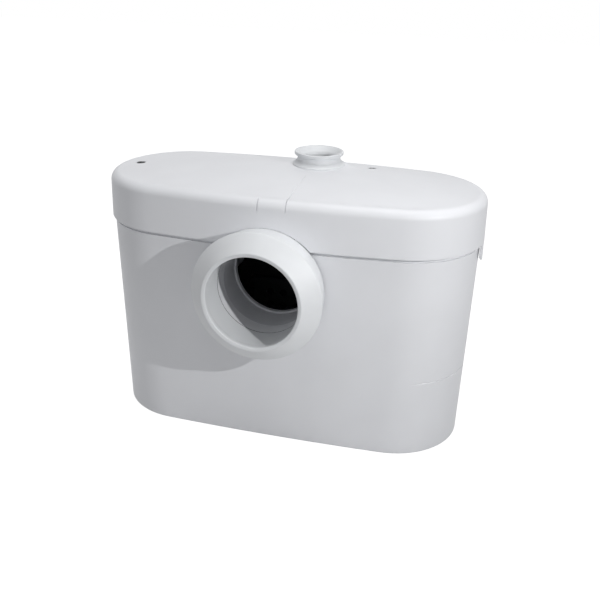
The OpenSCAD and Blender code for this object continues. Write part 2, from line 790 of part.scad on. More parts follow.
// The rubber discharge collar: a flared spool on the lid with a funnel mouth and a barrel through the lid
module discharge_collar() {
    under_z = seat_under_z - seat_gap;
    barb_r = barrel_r + 2.5;
    barb_h = 3;
    top_z = collar_z + collar_h;
    foot_t = 1.2;
    neck_flare = 0.8;
    color("white") translate([collar_x, collar_y, 0]) rotate_extrude(convexity = 4) polygon([
        [socket_r, socket_z], [barrel_r, socket_z], [barrel_r, under_z - barb_h - 1],
        [barb_r, under_z - barb_h], [barb_r, under_z], [barrel_r, under_z], [barrel_r, collar_z],
        [collar_foot_r, collar_z], [collar_foot_r, collar_z + foot_t], [collar_foot_r - 3, collar_z + 3],
        [collar_neck_r + neck_flare, collar_z + 4.6], [collar_neck_r, collar_z + 7],
        [collar_neck_r + neck_flare, top_z - 4.2], [collar_lip_r - 0.6, top_z - 2],
        [collar_lip_r, top_z - 1], [collar_lip_r - 0.8, top_z], [collar_lip_r - 2.4, top_z],
        [discharge_r, bore_z + discharge_l], [discharge_r, bore_z], [socket_r, bore_z]
    ]);
}

// The rubber grommet for the supply cable: a body in the wall, a flange on each side of it and a tapered neck
module cable_grommet() {
    tip_r = grommet_r - 1;
    wide_r = cable_r + 0.5;
    in_end_y = grommet_in_y - grommet_flange_t;
    neck_y = grommet_out_y + grommet_flange_t;
    color("dimgray") turned_y(grommet_x, grommet_z, [
        [wide_r, in_end_y], [grommet_flange_r, in_end_y], [grommet_flange_r, grommet_in_y],
        [grommet_r, grommet_in_y], [grommet_r, grommet_out_y], [grommet_flange_r, grommet_out_y],
        [grommet_flange_r, neck_y], [grommet_r, neck_y], [tip_r, grommet_end_y],
        [cable_r, grommet_end_y], [cable_r, grommet_out_y], [wide_r, grommet_out_y]
    ]);
}

// The perforated walls of the basket below the inlet, with a round opening for the pump's suction collar
module basket() {
    hole_nx = floor((basket_l - 2 * hole_pitch) / hole_pitch);
    hole_ny = floor((basket_d - hole_pitch) / hole_pitch);
    hole_nz = floor((basket_top_z - basket_z - hole_pitch) / hole_pitch);
    mid_x = (basket_x + basket_x1) / 2;
    mid_z = (basket_z + basket_top_z) / 2;
    color("darkslategray") difference() {
        translate([basket_x, -basket_d / 2, basket_z])
            cube([basket_l, basket_d, basket_top_z - basket_z]);
        translate([basket_x + basket_wall, -basket_d / 2 + basket_wall, basket_z - cut])
            cube([basket_l - 2 * basket_wall, basket_d - 2 * basket_wall, basket_top_z]);
        for (i = [0 : hole_nx - 1], k = [0 : hole_nz - 1])
            bar_y(hole_r, -basket_d / 2 - cut, basket_d / 2 + cut,
                mid_x + (i - (hole_nx - 1) / 2) * hole_pitch, mid_z + (k - (hole_nz - 1) / 2) * hole_pitch);
        for (j = [0 : hole_ny - 1], k = [0 : hole_nz - 1])
            bar_x(hole_r, basket_x - cut, basket_x + basket_wall + cut,
                (j - (hole_ny - 1) / 2) * hole_pitch, mid_z + (k - (hole_nz - 1) / 2) * hole_pitch);
        bar_x(eye_r + casing_wall + seat_gap, basket_x1 - basket_wall - cut, basket_x1 + cut);
    }
}

// The basket's floor: a plate between its walls, on four feet
module basket_floor() {
    foot_r = 5;
    color("darkslategray") union() {
        translate([basket_x + basket_wall, -basket_d / 2 + basket_wall, basket_z])
            cube([basket_l - 2 * basket_wall, basket_d - 2 * basket_wall, basket_wall]);
        for (x = [basket_x + 2 * foot_r, basket_x1 - 2 * foot_r], s = [-1, 1])
            bar_z(foot_r, floor_z, basket_z + cut, [x, s * (basket_d / 2 - 2 * foot_r)]);
    }
}

// The steel blade on the end of the shaft: a bar with ground ends round a hub
module blade() {
    color("silver") difference() {
        union() {
            translate([blade_x, -blade_r, shaft_z - blade_w / 2]) cube([blade_t, 2 * blade_r, blade_w]);
            bar_x(hub_r + 2, blade_x, blade_x1);
        }
        bar_x(shaft_r + fit, blade_x - cut, blade_x1 + cut);
        for (s = [0, 180]) translate([blade_x, 0, shaft_z]) rotate([s, 0, 0])
            translate([-cut, blade_r - 8, 0]) rotate([-25, 0, 0]) translate([0, 0, blade_w / 2 + 1])
                cube([blade_t + 2 * cut, 30, blade_w]);
    }
}

// The nut that holds the blade on the shaft
module blade_nut() {
    color("silver") difference() {
        translate([nut_x, 0, shaft_z]) rotate([0, 90, 0]) cylinder(r = shaft_r + 4, h = nut_h, $fn = 6);
        bar_x(shaft_r + fit, nut_x - cut, blade_x + cut);
    }
}

// The motor shaft, which carries rotor, impeller and blade
module motor_shaft() {
    color("lightsteelblue") bar_x(shaft_r, shaft_x, shaft_x1);
}

// The impeller: a long hub through the suction eye, a back plate and straight vanes
module impeller() {
    vane_root = 1.5;
    color("dimgray") difference() {
        union() {
            bar_x(hub_r, blade_x1, hub_x1);
            bar_x(impeller_r, plate_x, hub_x1);
            for (i = [0 : vane_n - 1])
                translate([plate_x - vane_l, 0, shaft_z]) rotate([360 * i / vane_n, 0, 0])
                    translate([0, hub_r - vane_root, -vane_t / 2])
                        cube([vane_l + cut, impeller_r - hub_r, vane_t]);
        }
        bar_x(shaft_r + fit, blade_x1 - cut, hub_x1 + cut);
    }
}

// The rotor core on the shaft
module rotor_core() {
    color("slategray") ring_x(shaft_r + fit, rotor_r, core_x, core_x1);
}

// The pump casing: a round chamber with a suction collar, an outlet spigot and a clamping flange
module pump_casing() {
    color("gray") difference() {
        union() {
            bar_x(casing_r, pump_x, casing_x1);
            bar_x(flange_r, casing_x1 - flange_t, casing_x1);
            bar_x(eye_r + casing_wall, eye_x, pump_x + cut);
            bar_z(riser_outer_r, shaft_z, outlet_z, [outlet_x, outlet_y]);
        }
        bar_x(chamber_r, pump_x + casing_wall, casing_x1 + cut);
        bar_x(eye_r, eye_x - cut, pump_x + casing_wall + cut);
        bar_z(riser_r, shaft_z, outlet_z + cut, [outlet_x, outlet_y]);
        at_pump_screws() translate([0, 0, casing_x1 - flange_t - cut])
            cylinder(r = pump_screw_r + fit, h = flange_t + 2 * cut);
    }
}

// The cover that closes the pump chamber and holds the shaft seal
module pump_cover() {
    color("gray") difference() {
        bar_x(flange_r, casing_x1, cover_x1);
        bar_x(seal_r + fit, casing_x1 - cut, cover_x1 + cut);
        at_pump_screws() translate([0, 0, casing_x1 - cut])
            cylinder(r = pump_screw_r + fit, h = cover_t + 2 * cut);
    }
}

// The lip seal round the shaft
module shaft_seal() {
    color("black") ring_x(shaft_r + fit, seal_r, casing_x1, cover_x1);
}

// The screws that clamp casing, cover and motor flange together
module pump_screws() {
    color("silver") at_pump_screws() union() {
        translate([0, 0, casing_x1 - flange_t])
            cylinder(r = pump_screw_r, h = flange_x1 - casing_x1 + flange_t);
        translate([0, 0, flange_x1]) cylinder(r = pump_screw_head_r, h = screw_head_h);
    }
}

// The motor's front flange with the pocket of the front bearing
module motor_flange() {
    color("lightslategray") difference() {
        union() {
            bar_x(flange_r, cover_x1, flange_x1);
            bar_x(pocket_r, flange_x1 - cut, flange_x1 + pocket_l);
        }
        bar_x(shaft_r + 1, cover_x1 - cut, flange_x1 + pocket_l + cut);
        bar_x(bearing_r + fit, flange_x1 + pocket_l - bearing_w, flange_x1 + pocket_l + cut);
        at_pump_screws() translate([0, 0, cover_x1 - cut])
            cylinder(r = pump_screw_r + fit, h = shield_t + 2 * cut);
    }
}

// The motor's round housing
module motor_housing() {
    color("slategray") ring_x(can_r, can_outer_r, flange_x1, can_x1);
}

// The motor's rear cap with the pocket of the rear bearing
module rear_cap() {
    color("lightslategray") difference() {
        union() {
            bar_x(can_outer_r, can_x1, cap_x1);
            bar_x(pocket_r, can_x1 - pocket_l, can_x1 + cut);
        }
        bar_x(bearing_r + fit, can_x1 - pocket_l - cut, can_x1 - pocket_l + bearing_w);
        bar_x(shaft_r + 1, can_x1 - pocket_l - cut, can_x1);
    }
}

// The two bearings of the shaft
module front_bearing() {
    x = flange_x1 + pocket_l;
    color("silver") ring_x(shaft_r + fit, bearing_r, x - bearing_w, x);
}
module rear_bearing() {
    x = can_x1 - pocket_l;
    color("silver") ring_x(shaft_r + fit, bearing_r, x, x + bearing_w);
}

// The stator core in the housing
module stator_core() {
    color("dimgray") ring_x(rotor_r + air_gap, can_r - fit, core_x, core_x1);
}

// The stator's two end windings
module end_windings() {
    color("peru") for (x = [core_x - winding_l, core_x1])
        ring_x(winding_r, winding_r + winding_t, x, x + winding_l);
}

// The cradle on the tank's bottom that carries the motor on two saddles
module motor_cradle() {
    mid = (flange_x1 + can_x1) / 2;
    color("darkgray") difference() {
        union() {
            translate([mid - saddle_pitch / 2 - saddle_w / 2, -cradle_w / 2, floor_z])
                cube([saddle_pitch + saddle_w, cradle_w, cradle_t]);
            for (s = [-1, 1]) translate([mid + s * saddle_pitch / 2 - saddle_w / 2, -cradle_w / 2, floor_z])
                cube([saddle_w, cradle_w, saddle_h]);
        }
        bar_x(can_outer_r + seat_gap, flange_x1, cap_x1);
    }
}

// One ring of the riser: a circle of radius r square to the route, which leaves the pump's outlet upwards
// and leans by deg towards the collar. out and up are the centre's place along the shift and its height.
function riser_ring(r, out, up, deg) = [for (i = [0 : riser_sides - 1])
    let (a = -360 * i / riser_sides, along = out + r * cos(a) * cos(deg), across = r * sin(a))
    [
        outlet_x + along * cos(shift_deg) - across * sin(shift_deg),
        outlet_y + along * sin(shift_deg) + across * cos(shift_deg),
        up - r * cos(a) * sin(deg)
    ]];

// The rings of the riser's two bends for a pipe of radius r
function riser_bends(r) = concat(
    [for (k = [0 : riser_steps]) let (t = bend_deg * k / riser_steps)
        riser_ring(r, bend_r * (1 - cos(t)), bend_z + bend_r * sin(t), t)],
    [for (k = [1 : riser_steps]) let (t = bend_deg * (1 - k / riser_steps))
        riser_ring(r, shift - bend_r * (1 - cos(t)), riser_top_z - bend_r * sin(t), t)]
);
function reversed(list) = [for (i = [len(list) - 1 : -1 : 0]) list[i]];

// The riser pipe: a socket on the pump's outlet, two bends, and a socket on the valve's foot. Its skin runs
// up the outside and back down the bore as one closed tube.
module riser_pipe() {
    low = outlet_z - riser_overlap;
    high = valve_foot_z + riser_overlap;
    outside = concat(
        [for (z = [low, bend_z]) riser_ring(riser_socket_outer_r, 0, z, 0)],
        riser_bends(riser_outer_r),
        [for (z = [riser_top_z, high]) riser_ring(riser_socket_outer_r, shift, z, 0)]
    );
    inside = concat(
        [for (z = [low, outlet_z + seat_gap]) riser_ring(riser_socket_r, 0, z, 0)],
        [riser_ring(riser_r, 0, outlet_z + seat_gap, 0)],
        riser_bends(riser_r),
        [riser_ring(riser_r, shift, valve_foot_z - seat_gap, 0)],
        [for (z = [valve_foot_z - seat_gap, high]) riser_ring(riser_socket_r, shift, z, 0)]
    );
    color("gray") closed_loft(concat(outside, reversed(inside)));
}

// The two clamps round the riser's sockets
module riser_clamps() {
    low = [outlet_x, outlet_y, outlet_z - riser_overlap + 1];
    high = [collar_x, collar_y, valve_foot_z + 1];
    color("silver") for (c = [low, high])
        translate(c) difference() {
            cylinder(r = riser_socket_outer_r + fit + clamp_t, h = clamp_h);
            translate([0, 0, -cut]) cylinder(r = riser_socket_outer_r + fit, h = clamp_h + 2 * cut);
        }
}

// The valve body: a foot spigot, a seat, a round chamber and a top spigot that enters the collar's socket
module valve_body() {
    at = [collar_x, collar_y];
    outer_r = valve_r + valve_wall;
    color("gray") difference() {
        union() {
            bar_z(riser_outer_r, valve_foot_z, seat_z, at);
            bar_z(outer_r, seat_z - valve_wall, valve_top_z + valve_wall, at);
            bar_z(outlet_spigot_r, valve_top_z, bore_z - seat_gap, at);
        }
        bar_z(riser_r, valve_foot_z - cut, seat_z + cut, at);
        bar_z(valve_r, seat_z, valve_top_z, at);
        bar_z(outlet_spigot_r - riser_wall, valve_top_z - cut, bore_z + cut, at);
        bar_y(flap_pin_r + fit, collar_y - outer_r, collar_y + outer_r, flap_pin_x, flap_pin_z);
    }
}

// The flap on the seat, with its knuckle round the pin
module valve_flap() {
    back = collar_x - flap_pin_off + 1;
    arm_t = 2.5;
    color("darkslategray") difference() {
        union() {
            difference() {
                bar_z(flap_r, seat_z, seat_z + flap_t, [collar_x, collar_y]);
                translate([back - 2 * flap_r, collar_y - flap_r, seat_z - cut])
                    cube([2 * flap_r, 2 * flap_r, flap_t + 2 * cut]);
            }
            bar_y(knuckle_r, collar_y - knuckle_l / 2, collar_y + knuckle_l / 2, flap_pin_x, flap_pin_z);
            translate([flap_pin_x, collar_y - knuckle_l / 2, seat_z + flap_t - cut])
                cube([flap_pin_off, knuckle_l, arm_t]);
        }
        bar_y(flap_pin_r + fit, collar_y - knuckle_l, collar_y + knuckle_l, flap_pin_x, flap_pin_z);
    }
}

// The flap's pin through the chamber's wall
module flap_pin() {
    half = sqrt((valve_r + valve_wall) ^ 2 - flap_pin_off ^ 2) - 0.5;
    color("silver") bar_y(flap_pin_r, collar_y - half, collar_y + half, flap_pin_x, flap_pin_z);
}

// The pressure bell: a tube open at its notched foot that traps air under the switch
module pressure_bell() {
    color("gray") difference() {
        bar_z(bell_r, floor_z, tray_z, bell_at);
        bar_z(bell_r - bell_wall, floor_z - cut, tray_z - bell_wall, bell_at);
        bar_z(air_r, tray_z - bell_wall - cut, tray_z + cut, bell_at);
        for (a = [0, 90]) translate([bell_at[0], bell_at[1], floor_z]) rotate([0, 0, a])
            translate([-bell_r - cut, -bell_r / 3, -cut])
                cube([2 * (bell_r + cut), bell_r * 2 / 3, bell_notch_h + cut]);
    }
}

// The four posts on the tank's bottom that carry the electrics tray
module tray_posts() {
    hole_l = tray_screw_l + 4;
    color("gray") for (p = tray_hold_at) difference() {
        bar_z(post_r, floor_z, tray_z, p);
        bar_z(tray_screw_r + fit, tray_z - hole_l, tray_z + cut, p);
    }
}

// The sealed tray for the electrics, on the bell and four posts
module electrics_tray() {
    hole_l = tray_screw_l + 2;
    color("gainsboro") difference() {
        translate([tray_x, tray_y, tray_z]) cube([tray_l, tray_d, tray_h]);
        difference() {
            translate([tray_x + tray_wall, tray_y + tray_wall, tray_floor_z])
                cube([tray_l - 2 * tray_wall, tray_d - 2 * tray_wall, tray_h]);
            for (p = tray_corner_at) bar_z(corner_boss_r, tray_floor_z - cut, tray_top_z, p);
        }
        bar_z(air_r, tray_z - cut, tray_floor_z + cut, bell_at);
        for (p = tray_hold_at) bar_z(tray_screw_r + fit, tray_z - cut, tray_floor_z + cut, p);
        for (p = tray_corner_at) bar_z(tray_screw_r + fit, tray_top_z - hole_l, tray_top_z + cut, p);
        bar_y(grommet_r, tray_d / 2 - tray_wall - cut, tray_d / 2 + cut, grommet_x, grommet_z);
    }
}

// A small round-headed screw standing on its seat
module small_screw(at, z, l) {
    bar_z(tray_screw_r, z - l, z, at);
    bar_z(tray_screw_head_r, z, z + tray_screw_head_h, at);
}

// The screws that hold the tray on its posts
module tray_screws() {
    color("silver") for (p = tray_hold_at) small_screw(p, tray_floor_z, tray_wall + tray_screw_l);
}

// The rubber diaphragm over the bell's air passage
module diaphragm() {
    color("black") bar_z(diaphragm_r, tray_floor_z, tray_floor_z + diaphragm_t, bell_at);
}

// The switch body: a cup over the diaphragm that guides the plunger
module switch_body() {
    color("ivory") difference() {
        bar_z(switch_r, switch_z, switch_top_z, bell_at);
        bar_z(switch_r - switch_wall, switch_z - cut, switch_top_z - switch_wall, bell_at);
        bar_z(plunger_r + fit, switch_top_z - switch_wall - cut, switch_top_z + cut, bell_at);
    }
}

// The plunger that the diaphragm lifts
module switch_plunger() {
    color("firebrick") {
        bar_z(plunger_foot_r, plunger_z, plunger_z + plunger_foot_t, bell_at);
        bar_z(plunger_r, plunger_z, stem_top_z - plunger_travel, bell_at);
    }
}

// The plunger's return spring: one round wire along a helix, as rings of points joined into a tube
module plunger_spring() {
    per_turn = 12;
    sides = 6;
    steps = spring_turns * per_turn;
    z0 = spring_z + spring_wire_r;
    rise = spring_top_z - spring_wire_r - z0;
    color("silver") translate([bell_at[0], bell_at[1], 0]) loft([
        for (k = [0 : steps]) let (a = 360 * k / per_turn, z = z0 + rise * k / steps) [
            for (j = [0 : sides - 1]) let (b = -360 * j / sides, r = spring_r + spring_wire_r * cos(b))
                [r * cos(a), r * sin(a), z + spring_wire_r * sin(b)]
        ]
    ]);
}

// The micro switch on top of the switch body, with a hole for the plunger's stem
module micro_switch() {
    color("black") difference() {
        translate([bell_at[0] - micro_size[0] / 2, bell_at[1] - micro_size[1] / 2, switch_top_z])
            cube(micro_size);
        bar_z(plunger_r + seat_gap, switch_top_z - cut, stem_top_z + 1, bell_at);
    }
}

// The motor's run capacitor, lying in the tray
module capacitor() {
    y = -(tray_d / 2 - tray_wall + switch_r) / 2;
    z = tray_floor_z + capacitor_r + seat_gap;
    end_x = bell_at[0] + capacitor_l / 2;
    tag_r = 1.5;
    tag_l = 6;
    tag_off = 4;
    color("silver") {
        bar_x(capacitor_r, end_x - capacitor_l, end_x, y, z);
        for (s = [-1, 1]) bar_x(tag_r, end_x - cut, end_x + tag_l, y + tag_off * s, z);
    }
}

// The terminal block, with a row of screw wells
module terminal_block() {
    y = -tray_y - tray_wall - corner_in - terminal_size[1] + 2;
    pitch = terminal_size[0] / terminal_n;
    well_r = 2.5;
    well_floor = 6;
    color("beige") difference() {
        translate([bell_at[0] - terminal_size[0] / 2, y, tray_floor_z]) cube(terminal_size);
        for (i = [0 : terminal_n - 1])
            bar_z(well_r, tray_floor_z + well_floor, tray_floor_z + terminal_size[2] + cut,
                [bell_at[0] + (i - (terminal_n - 1) / 2) * pitch, y + terminal_size[1] / 2]);
    }
}

// The rubber seal between tray and cover
module tray_seal() {
    seal_z = tray_top_z + tray_seal_t;
    color("black") difference() {
        translate([tray_x, tray_y, tray_top_z]) cube([tray_l, tray_d, tray_seal_t]);
        difference() {
            translate([tray_x + tray_wall, tray_y + tray_wall, tray_top_z - cut])
                cube([tray_l - 2 * tray_wall, tray_d - 2 * tray_wall, tray_seal_t + 2 * cut]);
            for (p = tray_corner_at) bar_z(corner_boss_r, tray_top_z - 2 * cut, seal_z + 2 * cut, p);
        }
        for (p = tray_corner_at) bar_z(tray_screw_r + fit, tray_top_z - cut, seal_z + cut, p);
    }
}

// The tray's cover
module tray_cover() {
    z = tray_top_z + tray_seal_t;
    color("gainsboro") difference() {
        translate([tray_x, tray_y, z]) cube([tray_l, tray_d, tray_cover_t]);
        for (p = tray_corner_at) bar_z(tray_screw_r + fit, z - cut, z + tray_cover_t + cut, p);
    }
}

// The screws of the tray's cover
module cover_screws() {
    z = tray_top_z + tray_seal_t + tray_cover_t;
    color("silver") for (p = tray_corner_at) small_screw(p, z, tray_seal_t + tray_cover_t + tray_screw_l);
}

tank_body();
tank_floor();
base_mat();
rim_seal();
lid_shell();
lid_screws();
vent_filter();
inlet_sleeve();
inlet_throat();
discharge_collar();
cable_grommet();
basket();
basket_floor();
blade();
blade_nut();
motor_shaft();
impeller();
rotor_core();
pump_casing();
pump_cover();
shaft_seal();
pump_screws();
motor_flange();
motor_housing();
rear_cap();
front_bearing();
rear_bearing();
stator_core();
end_windings();
motor_cradle();
riser_pipe();
riser_clamps();
valve_body();
valve_flap();
flap_pin();
pressure_bell();
tray_posts();
electrics_tray();
tray_screws();
diaphragm();
switch_body();
switch_plunger();
plunger_spring();
micro_switch();
capacitor();
terminal_block();
tray_seal();
tray_cover();
cover_screws();
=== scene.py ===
"""Looks of a macerator toilet pump: its moulded shells and rubber fittings as numpy surfaces, the finishes of
its inner works, and a plain studio with the photograph's camera."""

import math

import bmesh
import bpy
import numpy as np
from bpy.props import FloatProperty, FloatVectorProperty, PointerProperty
from mathutils import Matrix, Vector


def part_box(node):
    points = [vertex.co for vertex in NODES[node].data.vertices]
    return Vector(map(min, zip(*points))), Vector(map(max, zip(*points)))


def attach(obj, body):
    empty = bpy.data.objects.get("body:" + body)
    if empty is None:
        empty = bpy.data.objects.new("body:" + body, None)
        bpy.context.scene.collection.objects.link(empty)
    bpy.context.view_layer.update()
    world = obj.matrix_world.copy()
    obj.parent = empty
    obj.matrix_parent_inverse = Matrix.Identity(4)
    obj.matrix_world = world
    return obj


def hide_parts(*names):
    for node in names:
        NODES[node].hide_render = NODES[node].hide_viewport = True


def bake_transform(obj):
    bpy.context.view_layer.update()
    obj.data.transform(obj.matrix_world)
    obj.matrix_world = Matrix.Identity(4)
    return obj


bl_info = {
    "name": "Macerator pump looks",
    "version": (1, 0, 0),
    "blender": (4, 5, 0),
    "location": "View3D > Sidebar > Pump",
    "description": "Shells, rubber fittings, finishes and studio of a macerator toilet pump",
    "category": "Object",
}

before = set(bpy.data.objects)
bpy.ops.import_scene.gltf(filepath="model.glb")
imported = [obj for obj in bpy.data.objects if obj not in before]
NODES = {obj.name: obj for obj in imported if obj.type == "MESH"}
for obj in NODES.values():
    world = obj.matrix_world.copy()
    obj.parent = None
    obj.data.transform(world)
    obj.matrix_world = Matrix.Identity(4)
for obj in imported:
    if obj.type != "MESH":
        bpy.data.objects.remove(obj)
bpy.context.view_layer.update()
MM = 0.001

LID_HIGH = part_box("lid_shell")[1]
TANK_LOW, TANK_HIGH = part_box("tank_body")
SLEEVE_LOW, SLEEVE_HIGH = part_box("inlet_sleeve")
THROAT_LOW, THROAT_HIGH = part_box("inlet_throat")
COLLAR_LOW, COLLAR_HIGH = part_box("discharge_collar")
GROMMET_LOW, GROMMET_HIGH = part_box("cable_grommet")

INLET_X = (SLEEVE_LOW.x + SLEEVE_HIGH.x) / 2
INLET_Z = (SLEEVE_LOW.z + SLEEVE_HIGH.z) / 2
COLLAR_X = (COLLAR_LOW.x + COLLAR_HIGH.x) / 2
COLLAR_Y = (COLLAR_LOW.y + COLLAR_HIGH.y) / 2
GROMMET_X = (GROMMET_LOW.x + GROMMET_HIGH.x) / 2
GROMMET_Z = (GROMMET_LOW.z + GROMMET_HIGH.z) / 2

# Places of the lid screws and of the vent filter
SCREWS = ((-172 * MM, 0.0), (72 * MM, 52 * MM))
FILTER_PLACE = (-90 * MM, 0.0)

# Faces that meet at a sharper angle than this show a crease
CREASE_ANGLE = math.radians(32)

# The photograph's camera, with its axes to the right, up and back
SENSOR, LENS = 36, 49.79
EYE_PLACE = Vector((226.77, -808.85, 496.19)) * MM
EYE_AXES = ((0.96346, 0.26714, 0.01956), (-0.12424, 0.38100, 0.91619), (0.23730, -0.88514, 0.40027))


def linear(code):
    """Linear colour of an sRGB hex code: each channel through the sRGB curve, with alpha 1."""
    srgb = np.array([int(code[i:i + 2], 16) for i in (1, 3, 5)]) / 255
    low = srgb / 12.92
    high = ((srgb + 0.055) / 1.055) ** 2.4
    return (*np.where(srgb <= 0.04045, low, high).tolist(), 1.0)


def length(name, about, value):
    """A size in metres that a user may change."""
    return FloatProperty(name=name, description=about, default=value, unit="LENGTH", precision=5)


def colour(name, about, code):
    """A colour that a user may change."""
    return FloatVectorProperty(name=name, description=about, default=linear(code), size=4, subtype="COLOR",
                               min=0, max=1)


def power(name, about, value):
    """A lamp's power that a user may change."""
    return FloatProperty(name=name, description=about, default=value, min=0, subtype="POWER")


class PumpLidSettings(bpy.types.PropertyGroup):
    """Sizes of the lid."""
    half_length: length("Half length", "Half of the lid's length", LID_HIGH.x)
    half_depth: length("Half depth", "Half of the lid's depth", LID_HIGH.y)
    end_radius: length("End radius", "Radius of the lid's round ends", 82.4 * MM)
    skirt_z: length("Skirt height", "Height of the skirt's lower edge", 220.5 * MM)
    edge_z: length("Edge height", "Height where the edge meets the dome", 268.3 * MM)
    edge_radius: length("Edge radius", "Radius of the edge between skirt and dome", 9.4 * MM)
    dome_rise: length("Dome rise", "Rise of the dome above the edge", 6.9 * MM)
    draft: length("Draft", "Inward lean of the skirt", 0.6 * MM)
    seat_z: length("Seat height", "Height of the collar's seat", 274.2 * MM)
    pull: length("Left end", "How much shorter the left end is", 1.3 * MM)
    wall: length("Wall", "Thickness of the lid's wall", 2.8 * MM)
    arch_radius: length("Arch radius", "Radius of the skirt's arch over the sleeve", 61.6 * MM)
    groove_width: length("Groove width", "Width of the fine moulding grooves", 0.7 * MM)
    groove_depth: length("Groove depth", "Depth of the fine moulding grooves", 1.5 * MM)
    recess_radius: length("Recess radius", "Radius of the screw recesses", 4.7 * MM)
    recess_depth: length("Recess depth", "Depth of the screw recesses", 4 * MM)
    white: colour("White", "Colour of the moulded shells", "#E4E5E8")


class PumpTankSettings(bpy.types.PropertyGroup):
    """Sizes of the tank."""
    base_half_length: length("Base half length", "Half of the base's length", 190.8 * MM)
    base_half_depth: length("Base half depth", "Half of the base's depth", 76.6 * MM)
    base_end_radius: length("Base end radius", "Radius of the base's round ends", 74 * MM)
    rim_half_length: length("Rim half length", "Half of the rim's length", TANK_HIGH.x)
    rim_half_depth: length("Rim half depth", "Half of the rim's depth", TANK_HIGH.y)
    rim_end_radius: length("Rim end radius", "Radius of the rim's round ends", 78.9 * MM)
    wall: length("Wall", "Thickness of the tank's wall", 3.5 * MM)
    foot_radius: length("Foot radius", "Radius of the edge under the tank", 1.8 * MM)
    foot_z: length("Foot height", "Height of the foot rim above the floor", 0.25 * MM)
    seam_z: length("Seam height", "Height of the fine line round the right end", 84 * MM)


class PumpRubberSettings(bpy.types.PropertyGroup):
    """Sizes of the sleeve, its throat and the collar."""
    root_radius: length("Root radius", "Radius of the sleeve where it meets the lid", 61.1 * MM)
    crease_radius: length("Crease radius", "Radius of the sleeve's widest crease", 66.2 * MM)
    crease_y: length("Crease place", "Place of that crease along Y", -115.9 * MM)
    rim_radius: length("Rim radius", "Radius of the sleeve's front rim", 49.9 * MM)
    bore_radius: length("Bore radius", "Radius of the sleeve's bore at its lip", 46.1 * MM)
    joint_depth: length("Joint depth", "From the throat's inner end to the sleeve's joint", 38.5 * MM)
    throat_radius: length("Throat radius", "Radius of the throat behind the sleeve", 46.8 * MM)
    white: colour("White rubber", "Colour of the sleeve and the collar", "#DEE0E2")


class PumpStageSettings(bpy.types.PropertyGroup):
    """Studio light."""
    key: power("Key", "Power of the key lamp", 12.6)
    fill: power("Fill", "Power of the front fill", 2.4)
    top: power("Top", "Power of the overhead softbox", 17)
    ambient: FloatProperty(name="Ambient", description="Strength of the ambient light", default=0.29, min=0)


# Surfaces: every shell is a grid of points, a row for each point of a profile and a column along its path

def smooth(value, low, high):
    """Smooth step: 0 below low, 1 above high, and 3t^2 - 2t^3 between them."""
    t = np.clip((value - low) / (high - low), 0, 1)
    return t * t * (3 - 2 * t)


def side_arc(a, b, r):
    """Radius of an oval's long arcs and half the angle they span, from its half length a, half depth b and
    end radius r: the arcs meet the end circles with one tangent."""
    big = ((a - r) ** 2 + b ** 2 - r ** 2) / (2 * (b - r))
    return big, np.arctan2(a - r, big - b)


def oval_shares(a, b, r):
    """Shares of the way round an oval at which its arcs meet, from the middle of the front to the right."""
    big, half = side_arc(a, b, r)
    side, end = big * half, r * (math.pi - 2 * half)
    marks = np.cumsum([0, side, end, 2 * side, end, side])
    return marks / marks[-1]


def oval(u, shares, a, b, r):
    """Points and outward directions of four-arc ovals. Column u runs from 0 to 1 round the oval from the
    middle of the front; a, b and r hold one value for each row. The direction turns evenly along each arc,
    and a point is the arc's centre plus its radius times the direction."""
    a, b, r = (np.atleast_1d(v).astype(float)[:, None] for v in np.broadcast_arrays(a, b, r))
    big, half = side_arc(a, b, r)
    k = np.clip(np.searchsorted(shares, u, side="right") - 1, 0, 4)
    f = (u - shares[k]) / (shares[k + 1] - shares[k])
    marks = np.concatenate([0 * half, half, math.pi - half, math.pi + half, 2 * math.pi - half,
                            0 * half + 2 * math.pi], axis=1)
    angle = marks[:, k] + f * (marks[:, k + 1] - marks[:, k])
    nx, ny = np.sin(angle), -np.cos(angle)
    side = np.where(k == 1, 1, np.where(k == 3, -1, 0))
    face = np.where(k == 2, 1, np.where(k % 2 == 0, -1, 0))
    radius = np.where(k % 2 == 0, big, r)
    x = side * (a - r) + radius * nx
    y = face * (b - big) + radius * ny
    return x, y, nx, ny


def oval_gauge(x, y, a, b, r):
    """How far out a point lies in an oval: 0 in the middle and 1 on the oval, from the quadratic that puts
    the scaled point on the arc that its direction meets."""
    big, half = side_arc(a, b, r)
    x, y = np.abs(x), np.abs(y)
    joint_x, joint_y = big * np.sin(half), big * np.cos(half) - (big - b)
    on_end = y * joint_x < x * joint_y
    cx = np.where(on_end, a - r, 0.0)
    cy = np.where(on_end, 0.0, b - big)
    radius = np.where(on_end, r, big)
    dot = x * cx + y * cy
    square = np.maximum(x * x + y * y, 1e-12)
    root = np.sqrt(np.maximum(dot * dot - square * (cx * cx + cy * cy - radius * radius), 0))
    return square / (dot + root)


def spaced(marks, steps):
    """Places along a line whose spacing follows steps at the fine marks: equal shares of the running sum of
    one over the step."""
    weight = np.diff(marks) / ((steps[1:] + steps[:-1]) / 2)
    total = np.concatenate([[0], np.cumsum(weight)])
    count = int(round(total[-1]))
    return np.interp(np.linspace(0, total[-1], count + 1), total, marks)


def snap(places, exact):
    """Moves the place nearest to each exact value onto it."""
    places = places.copy()
    for value in exact:
        places[np.argmin(np.abs(places - value))] = value
    return places


